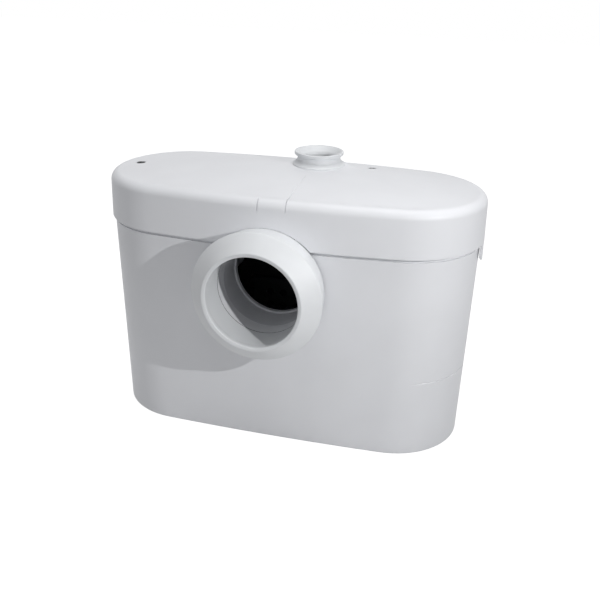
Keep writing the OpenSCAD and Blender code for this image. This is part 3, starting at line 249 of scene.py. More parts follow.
def rounded(corners, radii, steps=7):
    """A closed profile with soft corners: each corner becomes a parabola between two points at its radius
    along its sides, with one more point a little further out on each side to keep the flats flat."""
    most, beyond = 0.42, 1.15
    p = np.asarray(corners, float)
    before, after = np.roll(p, 1, 0) - p, np.roll(p, -1, 0) - p
    lb, la = np.linalg.norm(before, axis=1), np.linalg.norm(after, axis=1)
    trim = np.minimum(np.asarray(radii, float), most * np.minimum(lb, la))
    a = p + before / lb[:, None] * trim[:, None]
    b = p + after / la[:, None] * trim[:, None]
    s = np.linspace(0, 1, steps)[None, :, None]
    arc = (1 - s) ** 2 * a[:, None] + 2 * s * (1 - s) * p[:, None] + s ** 2 * b[:, None]
    first = p + before / lb[:, None] * (trim * beyond)[:, None]
    last = p + after / la[:, None] * (trim * beyond)[:, None]
    return np.concatenate([first[:, None], arc, last[:, None]], axis=1).reshape(-1, 2)


def rounded_mm(corners, radii):
    """A closed profile with soft corners, from corners and radii in millimetres."""
    return rounded(np.array(corners) * MM, np.array(radii) * MM)


def turned(profile, count, at, axis):
    """A profile of radius and place turned round an axis through at: along Y or along Z."""
    angle = np.linspace(0, 2 * math.pi, count, endpoint=False)[None]
    radius, place = profile[:, :1], profile[:, 1:] + 0 * angle
    c, s = radius * np.cos(angle), radius * np.sin(angle)
    if axis == "Y":
        return np.stack([at[0] + c, place, at[1] + s], -1)
    return np.stack([at[0] + c, at[1] + s, place], -1)


def shell(points, closed=True):
    """Vertices and outward quads of a grid of points whose columns close, and whose rows close or end in
    poles. The sign of the enclosed volume sets the quads' direction."""
    rows, cols = points.shape[:2]
    index = np.arange(rows * cols).reshape(rows, cols)
    if closed:
        index = np.concatenate([index, index[:1]])
    nxt = np.roll(index, -1, 1)
    quads = np.stack([index[:-1], nxt[:-1], nxt[1:], index[1:]], -1).reshape(-1, 4)
    verts = points.reshape(-1, 3)
    p = verts[quads] - verts.mean(0)
    volume = (np.einsum("ij,ij->i", p[:, 0], np.cross(p[:, 1], p[:, 2])).sum()
              + np.einsum("ij,ij->i", p[:, 0], np.cross(p[:, 2], p[:, 3])).sum())
    return verts, quads if volume > 0 else quads[:, ::-1]


def grid_normals(points):
    """Unit normals of a grid of points: the cross product of its steps along rows and columns."""
    along = np.roll(points, -1, 1) - np.roll(points, 1, 1)
    across = np.gradient(points, axis=0)
    n = np.cross(along, across)
    return n / np.maximum(np.linalg.norm(n, axis=2, keepdims=True), 1e-12)


def tube(inner, outer, low, high, count, at):
    """Shell of an upright tube between two radii and two heights, with soft edges."""
    wall = rounded([(inner, low), (outer, low), (outer, high), (inner, high)], [0.3 * MM] * 4)
    return shell(turned(wall, count, at, "Z"))


def mesh_of(name, shells):
    """A mesh of several shells, one after the other."""
    verts, faces, start = [], [], 0
    for v, f in shells:
        verts.append(v)
        faces.append(f + start)
        start += len(v)
    mesh = bpy.data.meshes.new(name)
    mesh.from_pydata(np.concatenate(verts).tolist(), [], np.concatenate(faces).tolist())
    mesh.validate()
    return mesh


def merged(mesh):
    """The mesh with points that lie on each other joined, which closes its poles."""
    work = bmesh.new()
    work.from_mesh(mesh)
    bmesh.ops.remove_doubles(work, verts=work.verts, dist=1e-6)
    work.to_mesh(mesh)
    work.free()
    return mesh


def hole_cutter(name, radius, front, back, count, at):
    """A closed cylinder along Y that cuts a hole, from a radius and two places in millimetres."""
    profile = np.array([(0, front), (radius, front), (radius, back), (0, back)]) * MM
    return merged(mesh_of(name, [shell(turned(profile, count, at, "Y"), closed=False)]))


def add_object(name, mesh):
    """Links a mesh into the scene as an object at the origin."""
    piece = bpy.data.objects.new(name, mesh)
    bpy.context.scene.collection.objects.link(piece)
    return piece


def turned_piece(name, profile, count, at, axis):
    """Links one profile turned round an axis into the scene."""
    return add_object(name, mesh_of(name, [shell(turned(profile, count, at, axis))]))


def cut_away(piece, cutters):
    """Cuts each closed mesh from a piece, and keeps the result as the piece's own mesh."""
    fewest_faces = 100
    tools = [add_object(f"cutter_{i}", mesh) for i, mesh in enumerate(cutters)]
    for tool in tools:
        cut = piece.modifiers.new(tool.name, "BOOLEAN")
        cut.operation, cut.solver, cut.object = "DIFFERENCE", "EXACT", tool
    seen = piece.evaluated_get(bpy.context.evaluated_depsgraph_get())
    result = bpy.data.meshes.new_from_object(seen)
    piece.modifiers.clear()
    piece.data = result
    for tool in tools:
        bpy.data.objects.remove(tool)
    if len(result.polygons) < fewest_faces:
        raise RuntimeError(f"{piece.name} was lost in cutting")


def dress(piece, material, body, slot, *nodes):
    """Gives a piece its finish, soft shading with creases past an angle and its body if it rides on one, and
    hides the nodes that it stands for. The slot is not used."""
    piece.data.materials.clear()
    piece.data.materials.append(material)
    piece.data.polygons.foreach_set("use_smooth", np.ones(len(piece.data.polygons), bool))
    piece.data.set_sharp_from_angle(angle=CREASE_ANGLE)
    if body:
        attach(piece, body)
    if nodes:
        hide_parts(*nodes)


# Finishes

def add(tree, kind, inputs=(), **settings):
    """Adds one shader node: settings are its options, and inputs its values or the sockets that feed it."""
    node = tree.nodes.new(kind)
    for key, value in settings.items():
        setattr(node, key, value)
    for key, value in dict(inputs).items():
        if isinstance(value, bpy.types.NodeSocket):
            tree.links.new(value, node.inputs[key])
        else:
            node.inputs[key].default_value = value
    return node


def empty_tree(owner):
    """The node tree of a material or a world, emptied."""
    owner.use_nodes = True
    owner.node_tree.nodes.clear()
    return owner.node_tree


def seen_directly(tree):
    """A socket that is 1 for rays from the camera and for mirrored or refracted ones, and 0 for the rest."""
    ray = add(tree, "ShaderNodeLightPath").outputs
    clear = ray["Is Camera Ray"]
    for kind in ("Is Glossy Ray", "Is Transmission Ray"):
        clear = add(tree, "ShaderNodeMath", {0: clear, 1: ray[kind]}, operation="MAXIMUM").outputs[0]
    return clear


def finish(name, pale, deep, rough, metallic=0.0, grain=1.5, lay=(1, 1, 1), height=0.02, mottle=40.0, ior=1.5,
           bands=0.0, coat=0.0):
    """One finish on Object coordinates: a wide mottle between two shades, given as colours or hex codes, a
    fine grain of so many millimetres that moves roughness and bump, stretched by lay, and bands of a given
    spacing where sheets or turns show."""
    pale, deep = (linear(tint) if isinstance(tint, str) else tint for tint in (pale, deep))
    made = bpy.data.materials.new(name)
    tree = empty_tree(made)
    place = add(tree, "ShaderNodeTexCoord").outputs["Object"]
    turned_place = add(tree, "ShaderNodeMapping", {"Vector": place, "Scale": lay}).outputs["Vector"]
    wide = add(tree, "ShaderNodeTexNoise", {"Vector": place, "Scale": 1 / (mottle * MM), "Detail": 3.0})
    fine = add(tree, "ShaderNodeTexNoise", {"Vector": turned_place, "Scale": 1 / (grain * MM), "Detail": 2.0})
    shade = add(tree, "ShaderNodeValToRGB", {"Fac": wide.outputs["Fac"]})
    for stop, at, tint in zip(shade.color_ramp.elements, (0.35, 0.65), (deep, pale)):
        stop.position, stop.color = at, tint
    level = fine.outputs["Fac"]
    if bands:
        # a wave texture of scale 1 repeats every 2 pi / 20
        wave = add(tree, "ShaderNodeTexWave", {"Vector": place, "Scale": 2 * math.pi / 20 / (bands * MM),
                                               "Distortion": 0.4, "Detail": 1.0}, bands_direction="X")
        level = add(tree, "ShaderNodeMath", {0: wave.outputs["Fac"], 1: level}, operation="ADD").outputs[0]
    gloss = add(tree, "ShaderNodeMapRange", {"Value": fine.outputs["Fac"], "From Min": 0.3, "From Max": 0.7,
                                             "To Min": rough[0], "To Max": rough[1]})
    bump = add(tree, "ShaderNodeBump", {"Height": level, "Strength": 1.0, "Distance": height * MM})
    skin = add(tree, "ShaderNodeBsdfPrincipled", {
        "Base Color": shade.outputs["Color"], "Roughness": gloss.outputs["Result"],
        "Normal": bump.outputs["Normal"], "Metallic": metallic, "IOR": ior, "Coat Weight": coat,
        "Coat Roughness": 0.25})
    add(tree, "ShaderNodeOutputMaterial", {"Surface": skin.outputs["BSDF"]})
    return made


def shaded(pale, share):
    """A colour darkened by a share of itself, alpha kept."""
    return (*(c * (1 - share) for c in pale[:3]), 1.0)


def moulded_white(name, pale):
    """Injection-moulded ABS: an even, slightly cool white, satin and faintly uneven like orange peel."""
    return finish(name, tuple(pale), shaded(pale, 0.025), (0.46, 0.54), grain=1.6, height=0.012, mottle=55,
                  ior=1.48)


def white_rubber(name, pale):
    """Moulded white rubber: softer and a little duller than the shells, with a fine powdery grain."""
    return finish(name, tuple(pale), shaded(pale, 0.035), (0.46, 0.56), grain=0.8, height=0.014, mottle=30,
                  ior=1.52)


def inner_finishes():
    """Finishes of the nodes that keep their solids, each with the nodes that wear it."""
    return {
        # black moulded rubber: deep, dull, with a talc-like mottle
        finish("black_rubber", "#232426", "#191A1B", (0.62, 0.75), grain=0.7, height=0.03):
            "base_mat rim_seal cable_grommet shaft_seal diaphragm tray_seal",
        # dark polypropylene: near-black with a soft sheen and a fine spark texture
        finish("dark_polypropylene", "#2C2E31", "#232528", (0.42, 0.55), grain=0.6, height=0.03):
            "basket basket_floor impeller valve_flap micro_switch",
        # grey polypropylene: flat grey with a waxy sheen
        finish("grey_polypropylene", "#868A8E", "#7A7E82", (0.38, 0.5), grain=1.0, height=0.02):
            "pump_casing pump_cover riser_pipe valve_body pressure_bell tray_posts",
        # pale grey ABS: moulded covers of the electrics
        finish("pale_grey_abs", "#C9CBCC", "#BFC1C3", (0.36, 0.46), grain=1.2, height=0.015):
            "electrics_tray tray_cover switch_body terminal_block",
        # red nylon: slightly translucent-looking, satin
        finish("red_nylon", "#A32A22", "#8F231D", (0.35, 0.48), grain=1.0, height=0.02):
            "switch_plunger",
        # bright steel: turned and ground, with fine lines along its length
        finish("bright_steel", "#C3C5C8", "#AEB1B5", (0.22, 0.36), metallic=1.0, grain=0.5,
               lay=(0.12, 1, 1), height=0.006, mottle=14):
            "blade blade_nut motor_shaft front_bearing rear_bearing pump_screws riser_clamps flap_pin "
            "tray_screws cover_screws",
        # blackened steel: dark oxide with a dull sheen, partly painted shade that darkens the screw recesses
        finish("blackened_steel_and_recess_shade", "#3A3B3D", "#2E2F31", (0.42, 0.56), metallic=1.0, grain=0.6,
               height=0.01, mottle=10):
            "lid_screws",
        # stacked steel sheet: 0.5 mm sheets drawn as bands of 1 mm so that they show
        finish("stacked_sheet_steel", "#7E8288", "#63676D", (0.4, 0.55), metallic=1.0,
               grain=0.6, height=0.05, bands=1.0):
            "rotor_core stator_core",
        # die-cast aluminium: pale grey with a sandy skin
        finish("cast_aluminium", "#B9BBBD", "#A3A6A9", (0.42, 0.58), metallic=1.0, grain=0.9,
               height=0.05, mottle=18):
            "motor_flange rear_cap capacitor",
        # stoved enamel on pressed steel: dark, smooth, slightly rippled
        finish("dark_stoved_enamel", "#3A3D41", "#313438", (0.28, 0.36), grain=1.8, height=0.02, coat=0.3):
            "motor_housing motor_cradle",
        # enamelled copper wire: turns of 0.8 mm wire as bands
        finish("enamelled_copper", "#B5652F", "#934B20", (0.3, 0.42), metallic=1.0, grain=0.5,
               height=0.2, mottle=6, bands=0.8):
            "end_windings",
        # charcoal felt: black, open and matt
        finish("charcoal_felt", "#1D1D1E", "#121213", (0.85, 0.95), grain=0.4, height=0.25):
            "vent_filter",
    }


# Pieces

def lid_shells(g):
    """Shells of the lid. Each column is a place on the oval. Rows run up the skirt, over the rounded edge,
    across the dome on straight lines towards the collar's seat, through the seat's hole and back under the
    dome. The dome rises as a softened 1 - s^2 of the oval gauge s. Grooves push the grid along its normals,
    and recesses push it down."""
    a, b, r = g.half_length, g.half_depth, g.end_radius
    shares = oval_shares(a, b, r)
    seat_r, hole_r, seat_z, blend_r = 30 * MM, 21 * MM, g.seat_z, 38 * MM
    under_z = g.edge_z - g.wall - 1 * MM
    # each groove's place along X and its end on the lid's top along Y
    grooves = [(17.2 * MM, -15 * MM), (-10.8 * MM, -80.6 * MM)]
    arch_half = math.sqrt(g.arch_radius ** 2 - (g.skirt_z - INLET_Z) ** 2)

    # Columns stand closer at the arch, the grooves and the recesses
    plain, by_arch, by_groove, in_groove, by_recess = (v * MM for v in (3.4, 1.8, 0.4, 0.13, 0.62))
    recess_zone = 7 * MM
    marks = np.linspace(0, 1, 24001)
    mx, my, nx, ny = (v[0] for v in oval(marks, shares, a, b, r))
    step = np.full(len(marks), plain)
    front = my < 0
    step[front & (np.abs(mx - INLET_X) < arch_half + 5 * MM)] = by_arch
    for x0, _ in grooves:
        step[front & (np.abs(mx - x0) < 2.4 * MM)] = by_groove
        step[front & (np.abs(mx - x0) < 0.9 * MM)] = in_groove
    inset = g.draft + g.edge_radius
    ex, ey = mx - inset * nx - COLLAR_X, my - inset * ny - COLLAR_Y
    reach = np.hypot(ex, ey)
    for px, py in SCREWS:
        qx, qy = px - COLLAR_X, py - COLLAR_Y
        off = np.abs(ex * qy - ey * qx) / reach
        near = (off < recess_zone) & (ex * qx + ey * qy > 0)
        step[near] = np.minimum(step, by_recess * reach / math.hypot(qx, qy))[near]
    around = np.hypot(np.gradient(mx), np.gradient(my))
    run = np.concatenate([[0], np.cumsum((around[1:] + around[:-1]) / 2)])
    u = np.interp(spaced(run, step), run, marks)[:-1]
    # the arch's corners lie in the last quarter and in the first
    quarter = len(marks) // 4
    u = snap(u, [np.interp(INLET_X - arch_half, mx[3 * quarter:], marks[3 * quarter:]),
                 np.interp(INLET_X + arch_half, mx[:quarter], marks[:quarter])])

    ox, oy, nx, ny = (v[0] for v in oval(u, shares, a, b, r))
    arch_x, arch_z = INLET_X + 0.3 * MM, INLET_Z - 0.45 * MM
    side = g.arch_radius ** 2 - (ox - arch_x) ** 2
    arch = arch_z + np.sqrt(np.maximum(side, 0))
    low = np.where((oy < 0) & (side > 0), np.maximum(arch, g.skirt_z), g.skirt_z)
    top = g.edge_z - g.edge_radius
    pull_from = 130 * MM

    def ring(d, z):
        x, y = ox - d * nx, oy - d * ny
        return np.stack([x + g.pull * smooth(-x, pull_from, g.half_length), y, z + 0 * low], -1)

    def leaning(z):
        return g.draft * (z - g.skirt_z) / (top - g.skirt_z)

    ends = ring(inset, g.edge_z)
    out = ends[:, :2] - [COLLAR_X, COLLAR_Y]
    way = out / np.linalg.norm(out, axis=1, keepdims=True)

    def circle(radius, z):
        return np.stack([COLLAR_X + radius * way[:, 0], COLLAR_Y + radius * way[:, 1], z + 0 * low], -1)

    def dome_z(p):
        s = oval_gauge(p[..., 0], p[..., 1], a - inset, b - inset, r - inset)
        k, soft = np.maximum(1 - s * s, 0), 0.1
        return g.dome_rise * (np.sqrt(k * k + soft * soft) - soft) / (math.sqrt(1 + soft * soft) - soft)

    def dome(shares_in, base_z):
        w = np.asarray(shares_in)[:, None, None]
        rows = ends[None] * (1 - w) + circle(seat_r, g.edge_z)[None] * w
        rows[..., 2] = base_z + dome_z(rows)
        return rows

    # Rows of the dome: close at its edge and across the recesses
    w = np.linspace(0, 1, 4001)
    gap = np.full(len(w), 0.03)
    gap[w < 0.03] = 0.008
    for px, py in SCREWS:
        at = math.hypot(px - COLLAR_X, py - COLLAR_Y)
        line = np.argmin(np.hypot(way[:, 0] - (px - COLLAR_X) / at, way[:, 1] - (py - COLLAR_Y) / at))
        span = np.hypot(*out[line])
        full, mid = span - seat_r, (span - at) / (span - seat_r)
        gap[np.abs(w - mid) < recess_zone / full] = by_recess / full
    shares_in = spaced(w, gap)

    soft = 0.9 * MM
    rows = [ring(soft, low), ring(0.3 * soft, low + 0.3 * soft), ring(leaning(low + soft), low + soft)]
    for f in (0.02, 0.15, 0.3, 0.45, 0.6, 0.75, 0.88, 0.97):
        z = low + soft + (top - low - soft) * f
        rows.append(ring(leaning(z), z))
    for t in np.linspace(0, math.pi / 2, 15):
        rows.append(ring(g.draft + g.edge_radius * (1 - math.cos(t)), top + g.edge_radius * math.sin(t)))
    dome_rows = dome(shares_in[1:], g.edge_z)
    far = np.hypot(dome_rows[..., 0] - COLLAR_X, dome_rows[..., 1] - COLLAR_Y)
    dome_rows[..., 2] += (seat_z - dome_rows[-1, :, 2]) * (1 - smooth(far, seat_r, blend_r))
    skin = np.concatenate([np.stack(rows), dome_rows])

    # Grooves start a little below the edge and are shallower on the top
    x, y, z = np.moveaxis(skin, 2, 0)
    push = np.zeros_like(x)
    for x0, y0 in grooves:
        dip = 1 - smooth(np.abs(x - x0), 0.38 * g.groove_width, 0.58 * g.groove_width)
        dip *= smooth(-y, -y0 - 2 * MM, -y0 + 2 * MM) * smooth(z, 255.5 * MM, 258 * MM)
        depth_share = 0.22 + 0.78 * smooth(-y, 66 * MM, 82 * MM)
        push = np.maximum(push, g.groove_depth * dip * depth_share)
    normal = grid_normals(skin)
    normal *= np.sign((normal[-5] * [0, 0, 1]).sum())
    skin = skin - push[..., None] * normal
    for px, py in SCREWS:
        far = np.hypot(x - px, y - py)
        dip = 1 - smooth(far, g.recess_radius - 0.1 * MM, g.recess_radius + 0.3 * MM)
        skin[..., 2] -= g.recess_depth * dip

    edge = 0.4 * MM
    seat = [circle(seat_r - edge, seat_z), circle(hole_r + edge, seat_z), circle(hole_r, seat_z - edge),
            circle(hole_r, under_z), circle(seat_r, under_z)]
    inner_r = g.edge_radius - g.wall
    inside = list(dome(np.linspace(1, 0, 14), g.edge_z - g.wall))
    for t in np.linspace(math.pi / 2, 0, 9)[1:]:
        inside.append(ring(g.wall + g.draft + inner_r * (1 - math.cos(t)),
                           g.edge_z - g.wall - inner_r + inner_r * math.sin(t)))
    for f in (0.75, 0.5, 0.25):
        z = low + (top - low) * f
        inside.append(ring(g.wall + leaning(z), z))
    inside += [ring(g.wall, low + soft), ring(g.wall - 0.3 * soft, low + 0.3 * soft),
               ring(g.wall - soft, low)]
    shells = [shell(np.concatenate([skin, np.stack(seat), np.stack(inside)]))]

    # Under the dome: a ledge, a boss for each screw and the filter's ring
    by_front = smooth(np.sqrt(np.maximum(side, 0)) * (oy < 0), 20 * MM, 26 * MM)
    ledge_out = g.wall + 0.2 * MM + 2.2 * MM * smooth(by_front, 0, 1)
    ledge_in, ledge_low, ledge_high = 9 * MM, 233 * MM, 237 * MM
    shells.append(shell(np.stack([ring(ledge_out, ledge_low), ring(ledge_out, ledge_high),
                                  ring(ledge_in, ledge_high), ring(ledge_in, ledge_low)])))
    for px, py in SCREWS:
        roof = g.edge_z + float(dome_z(np.array([px, py]))) - g.recess_depth - 0.4 * MM
        shells.append(tube(2.3 * MM, 7 * MM, 231 * MM, roof, 40, (px, py)))
    shells.append(tube(22.3 * MM, 24.5 * MM, 254.7 * MM, g.edge_z - 0.5 * MM, 72, FILTER_PLACE))
    shells.append(tab_shell(g))
    return shells


def tab_shell(g):
    """The clip tab under the right end of the skirt: a curved plate that follows the lid's end circle,
    straight at the top and half an ellipse at the bottom. Each row is a loop round the plate at a height."""
    half, deep, tip, drop, edge = 11.6 * MM, 2.6 * MM, 201.5 * MM, 8.5 * MM, 0.5 * MM
    count = 13
    mid = tip + drop
    turn = np.linspace(0, math.pi / 2, count)
    z = np.concatenate([[g.skirt_z + 4 * MM, g.skirt_z - 1 * MM, (g.skirt_z + mid) / 2],
                        mid - drop * np.sin(turn)])
    width = np.concatenate([[half] * 3, np.maximum(half * np.cos(turn), 0.02 * MM)])
    v = np.linspace(-1, 1, count)
    loop_v = np.concatenate([v, v[::-1]])[None]
    back = np.repeat([0.0, 1.0], count)[None]
    y = width[:, None] * loop_v
    ease = edge * np.abs(loop_v) ** 12 * np.where(back > 0.5, -1, 1)
    thin = np.concatenate([[1] * 3, 1 - 0.75 * np.sin(turn) ** 3])[:, None]
    radius = g.end_radius - 0.15 * MM - deep * thin * back - ease * thin
    x = g.half_length - g.end_radius + np.sqrt(radius ** 2 - y ** 2)
    return shell(capped(np.stack([x, y, z[:, None] + 0 * x], -1)), closed=False)


def capped(rows):
    """Rows of points with a pole at the middle of the first and of the last."""
    poles = [np.tile(rows[i].mean(0), (rows.shape[1], 1)) for i in (0, -1)]
    return np.concatenate([[poles[0]], rows, [poles[1]]])


def tank_shells(g, lid):
    """Shells of the tank, of the black sheet of painted shade inside it and of its lugs. Rows are ovals that
    grow from base to rim: from the middle of the bottom down and round the foot rim, up the wall, over the
    rim, down inside and to the middle of the floor. The sheet of painted shade is a thin sheet of the same
    ovals just inside the wall."""
    shares = oval_shares(lid.half_length, lid.half_depth, lid.end_radius)
    foot_z, rim_z = TANK_LOW.z + g.foot_radius, TANK_HIGH.z
    floor_z = TANK_LOW.z + 3.5 * MM
    column_step, curve_r, foot_inset = 4 * MM, 4 * MM, 5 * MM
    gap_low, gap_high, gap_depth = 216.9 * MM, 219.4 * MM, 1.7 * MM
    seam_depth, seam_reach = 0.8 * MM, 4 * MM
    spread = [0, 0.4, 0.8, 0.97]
    sizes = ((g.base_half_length, g.rim_half_length), (g.base_half_depth, g.rim_half_depth),
             (g.base_end_radius, g.rim_end_radius))
    marks = np.linspace(0, 1, 8001)
    mx, my = (v[0] for v in oval(marks, shares, g.rim_half_length, g.rim_half_depth, g.rim_end_radius)[:2])
    run = np.concatenate([[0], np.cumsum(np.hypot(np.diff(mx), np.diff(my)))])
    u = np.interp(spaced(run, np.full(len(marks), column_step)), run, marks)[:-1]

    def ovals(z, inset, scale=1.0):
        t = np.maximum((np.asarray(z) - foot_z) / (rim_z - foot_z), 0)
        x, y, nx, ny = oval(u, shares, *(base + (rim - base) * t for base, rim in sizes))
        d = np.asarray(inset)[:, None]
        s = np.broadcast_to(scale, np.shape(z))[:, None]
        return np.stack([(x - d * nx) * s, (y - d * ny) * s, np.asarray(z)[:, None] + 0 * x], -1)

    q = np.linspace(0, math.pi / 2, 6)
    bottom = ovals([TANK_LOW.z] * 4, [foot_inset] * 4, spread)
    under_rim = ovals([TANK_LOW.z, TANK_LOW.z, g.foot_z], np.array([5, 4.6, 4.3]) * MM)
    edge = ovals(g.foot_z + g.foot_radius * (1 - np.cos(q)), g.foot_radius * (1 - np.sin(q)))

    # Wall, with a fine line round its right end and a shadow gap under the lid's skirt
    fine = np.linspace(g.seam_z - 1.2 * MM, g.seam_z + 1.2 * MM, 9)
    heights = np.concatenate([
        np.linspace(foot_z, g.seam_z - seam_reach, 14)[1:], fine,
        np.linspace(g.seam_z + seam_reach, gap_low - 2 * MM, 22),
        [gap_low - 0.1 * MM, gap_low - 0.02 * MM, gap_low, gap_high, gap_high + 0.1 * MM],
        np.linspace(gap_high + 2 * MM, rim_z - 0.6 * MM, 4)])
    in_gap = (heights > gap_low - 0.01 * MM) & (heights < gap_high + 0.05 * MM)
    wall = ovals(heights, np.where(in_gap, gap_depth, 0))
    x, y, z = np.moveaxis(wall, 2, 0)
    line = (1 - smooth(np.abs(z - g.seam_z), 0.1 * MM, 0.7 * MM)) * smooth(x, 146 * MM, 156 * MM) * (y < 0)
    out = np.stack([x, y], -1) / np.hypot(x, y)[..., None]
    wall[..., :2] -= seam_depth * line[..., None] * out

    lip = ovals([rim_z - 0.15 * MM, rim_z, rim_z, rim_z - 0.15 * MM],
                [0.15 * MM, 0.5 * MM, g.wall - 0.5 * MM, g.wall - 0.15 * MM])
    down = np.linspace(rim_z - 0.6 * MM, floor_z + curve_r, 14)
    inner = ovals(down, 0 * down + g.wall)
    curve = ovals(floor_z + curve_r * (1 - np.sin(q[1:])), g.wall + curve_r * (1 - np.cos(q[1:])))
    floor = ovals([floor_z] * 4, [g.wall + curve_r] * 4, spread[::-1])
    shells = [shell(np.concatenate([bottom, under_rim, edge, wall, lip, inner, curve, floor]), closed=False)]

    # Painted shade: a black sheet between two distances from the wall and the floor, which darkens the inside
    # of the tank
    outer_gap, inner_gap = 0.05 * MM, 0.6 * MM
    low, high, top = floor_z + outer_gap, floor_z + inner_gap, rim_z - 10 * MM
    near, far = g.wall + outer_gap, g.wall + inner_gap
    under = ovals([low] * 4, [near + curve_r] * 4, spread)
    turn_up = ovals(low + curve_r * (1 - np.cos(q)), near + curve_r * (1 - np.sin(q)))
    up = ovals(np.linspace(low + curve_r, top, 14)[1:], np.full(13, near))
    back = ovals(np.linspace(top, high + curve_r, 14), np.full(14, far))
    turn_in = ovals(high + curve_r * (1 - np.sin(q[1:])), far + curve_r * (1 - np.cos(q[1:])))
    over = ovals([high] * 4, [far + curve_r] * 4, spread[::-1])
    shells.append(shell(np.concatenate([under, turn_up, up, back, turn_in, over]), closed=False))

    lug_boxes = (((-193.5 * MM, -7 * MM), (-165 * MM, 7 * MM)), ((65 * MM, 45 * MM), (79 * MM, 81 * MM)))
    shells += [lug_shell(hole, *box, rim_z) for hole, box in zip(SCREWS, lug_boxes)]
    return shells


def lug_shell(hole, low, high, top):
    """A screw lug: a rectangle round a bore. Columns are rays from the bore, cut by the rectangle outside and
    by the bore's circle inside."""
    bore_r, foot, head = 2.5 * MM, top - 18 * MM, top - 0.2 * MM
    corners = [math.atan2(y - hole[1], x - hole[0]) for x in (low[0], high[0]) for y in (low[1], high[1])]
    angle = np.unique(np.concatenate([np.linspace(-math.pi, math.pi, 48, endpoint=False), corners]))
    c, s = np.cos(angle), np.sin(angle)
    with np.errstate(divide="ignore"):
        tx = np.where(c > 0, (high[0] - hole[0]) / c, (low[0] - hole[0]) / c)
        ty = np.where(s > 0, (high[1] - hole[1]) / s, (low[1] - hole[1]) / s)
    far = np.minimum(np.where(np.abs(c) < 1e-9, 1e9, tx), np.where(np.abs(s) < 1e-9, 1e9, ty))
    near = 0 * far + bore_r
    rows = [np.stack([hole[0] + t * c, hole[1] + t * s, 0 * t + z], -1)
            for t, z in ((far, foot), (far, head), (near, head), (near, foot))]
    return shell(np.stack(rows))


def sleeve_profile(g):
    """Profile of the sleeve, radius against place along Y: flared band to a soft crease, cone to the flat
    front lip, bore that widens behind the lip and narrows again to the joint, and the slot that grips the
    spigot."""
    front, back = SLEEVE_LOW.y / MM, SLEEVE_HIGH.y / MM
    joint, spigot = (THROAT_HIGH.y - g.joint_depth) / MM, (THROAT_LOW.y - 0.3 * MM) / MM
    root_y, bore = -88.4, g.bore_radius / MM
    points = [
        (60.2, back), (g.root_radius / MM, root_y), (g.crease_radius / MM, g.crease_y / MM),
        (g.rim_radius / MM, front), (bore, front + 0.6), (bore, front + 6), (48, front + 9), (46.8, joint),
        (53.9, joint), (53.9, spigot), (57.6, spigot), (57.6, back)]
    return rounded_mm(points, [0.5, 0.3, 1.3, 0.8, 1.2, 2, 2, 0.15, 0.2, 0.2, 0.2, 0.3])


def throat_profile(g):
    """Profile of the throat: spigot, flange and tube, with a rebate for the joint ring."""
    tube_length, flange = 34.2, 3.5
    end, spigot = THROAT_HIGH.y / MM, THROAT_LOW.y / MM
    seat, bore, joint = end - tube_length, g.throat_radius / MM, end - g.joint_depth / MM
    points = [
        (bore, end), (bore, joint + 0.6), (49.5, joint + 0.6), (49.5, joint), (54, joint),
        (54, spigot), (57.5, spigot), (57.5, seat + flange), (50, seat + flange), (50, end)]
    return rounded_mm(points, [0.4, 0.05, 0.05, 0.05, 0.2, 0.6, 0.6, 0.4, 0.4, 0.4])


def liner_profile():
    """Profile of the liner: a thin skin in the throat that ends in a bead behind it."""
    end = THROAT_HIGH.y / MM
    points = [(46.7, end - 21), (46.85, end - 21), (46.85, end + 14), (44, end + 14), (44, end + 9),
              (45.6, end + 8)]
    return rounded_mm(points, [0.05, 0.05, 0.6, 0.6, 0.6, 0.6])


def packing_profile(g):
    """Profile of the packing: a flat ring that fills the throat's rebate at the joint."""
    joint = THROAT_HIGH.y / MM - g.joint_depth / MM
    inner, outer, low, high = 46.75, 49.45, joint + 0.02, joint + 0.58
    return rounded_mm([(inner, low), (outer, low), (outer, high), (inner, high)], [0.05] * 4)


def collar_profile(foot_z):
    """Profile of the collar, radius against height: barrel with a barb, foot, waist, lip and funnel."""
    low, z0, z1 = COLLAR_LOW.z / MM, foot_z / MM, COLLAR_HIGH.z / MM
    points = [
        (17, low), (20.7, low), (20.7, 261.4), (23.2, 262.4), (23.2, 265.4), (20.7, 265.4), (20.7, z0),
        (27.9, z0), (27.9, z0 + 0.9), (23.6, z0 + 4.6), (22.9, z0 + 7), (23, z1 - 4.6), (26.2, z1 - 3.6),
        (26.2, z1), (24.2, z1), (17.2, z1 - 5), (16, z1 - 7.4), (16, z0 + 0.5), (17, z0 + 0.5)]
    return rounded_mm(points, [0.4, 0.4, 0.3, 0.5, 0.3, 0.3, 0.2, 0.3, 0.7, 2.2, 2.2, 0.8, 1.4, 1.1, 1.4, 1.6,
                               1.6, 0.3, 0.3])


def spring_grid(low, high):
    """Wire of the plunger's spring: rings of points along a helix of five turns that fills the CAD spring's
    box, closed by a pole at each end."""
    wire, turns, per_turn, sides = 0.5 * MM, 5, 32, 10
    middle, radius = (low + high) / 2, (high.x - low.x) / 2 - wire
    t = np.linspace(0, 1, turns * per_turn + 1)[:, None]
    a, b = 2 * math.pi * turns * t, np.linspace(0, 2 * math.pi, sides, endpoint=False)[None]
    r = radius + wire * np.cos(b)
    z = low.z + wire + (high.z - low.z - 2 * wire) * t + wire * np.sin(b)
    return capped(np.stack([middle.x + r * np.cos(a), middle.y + r * np.sin(a), z], -1))


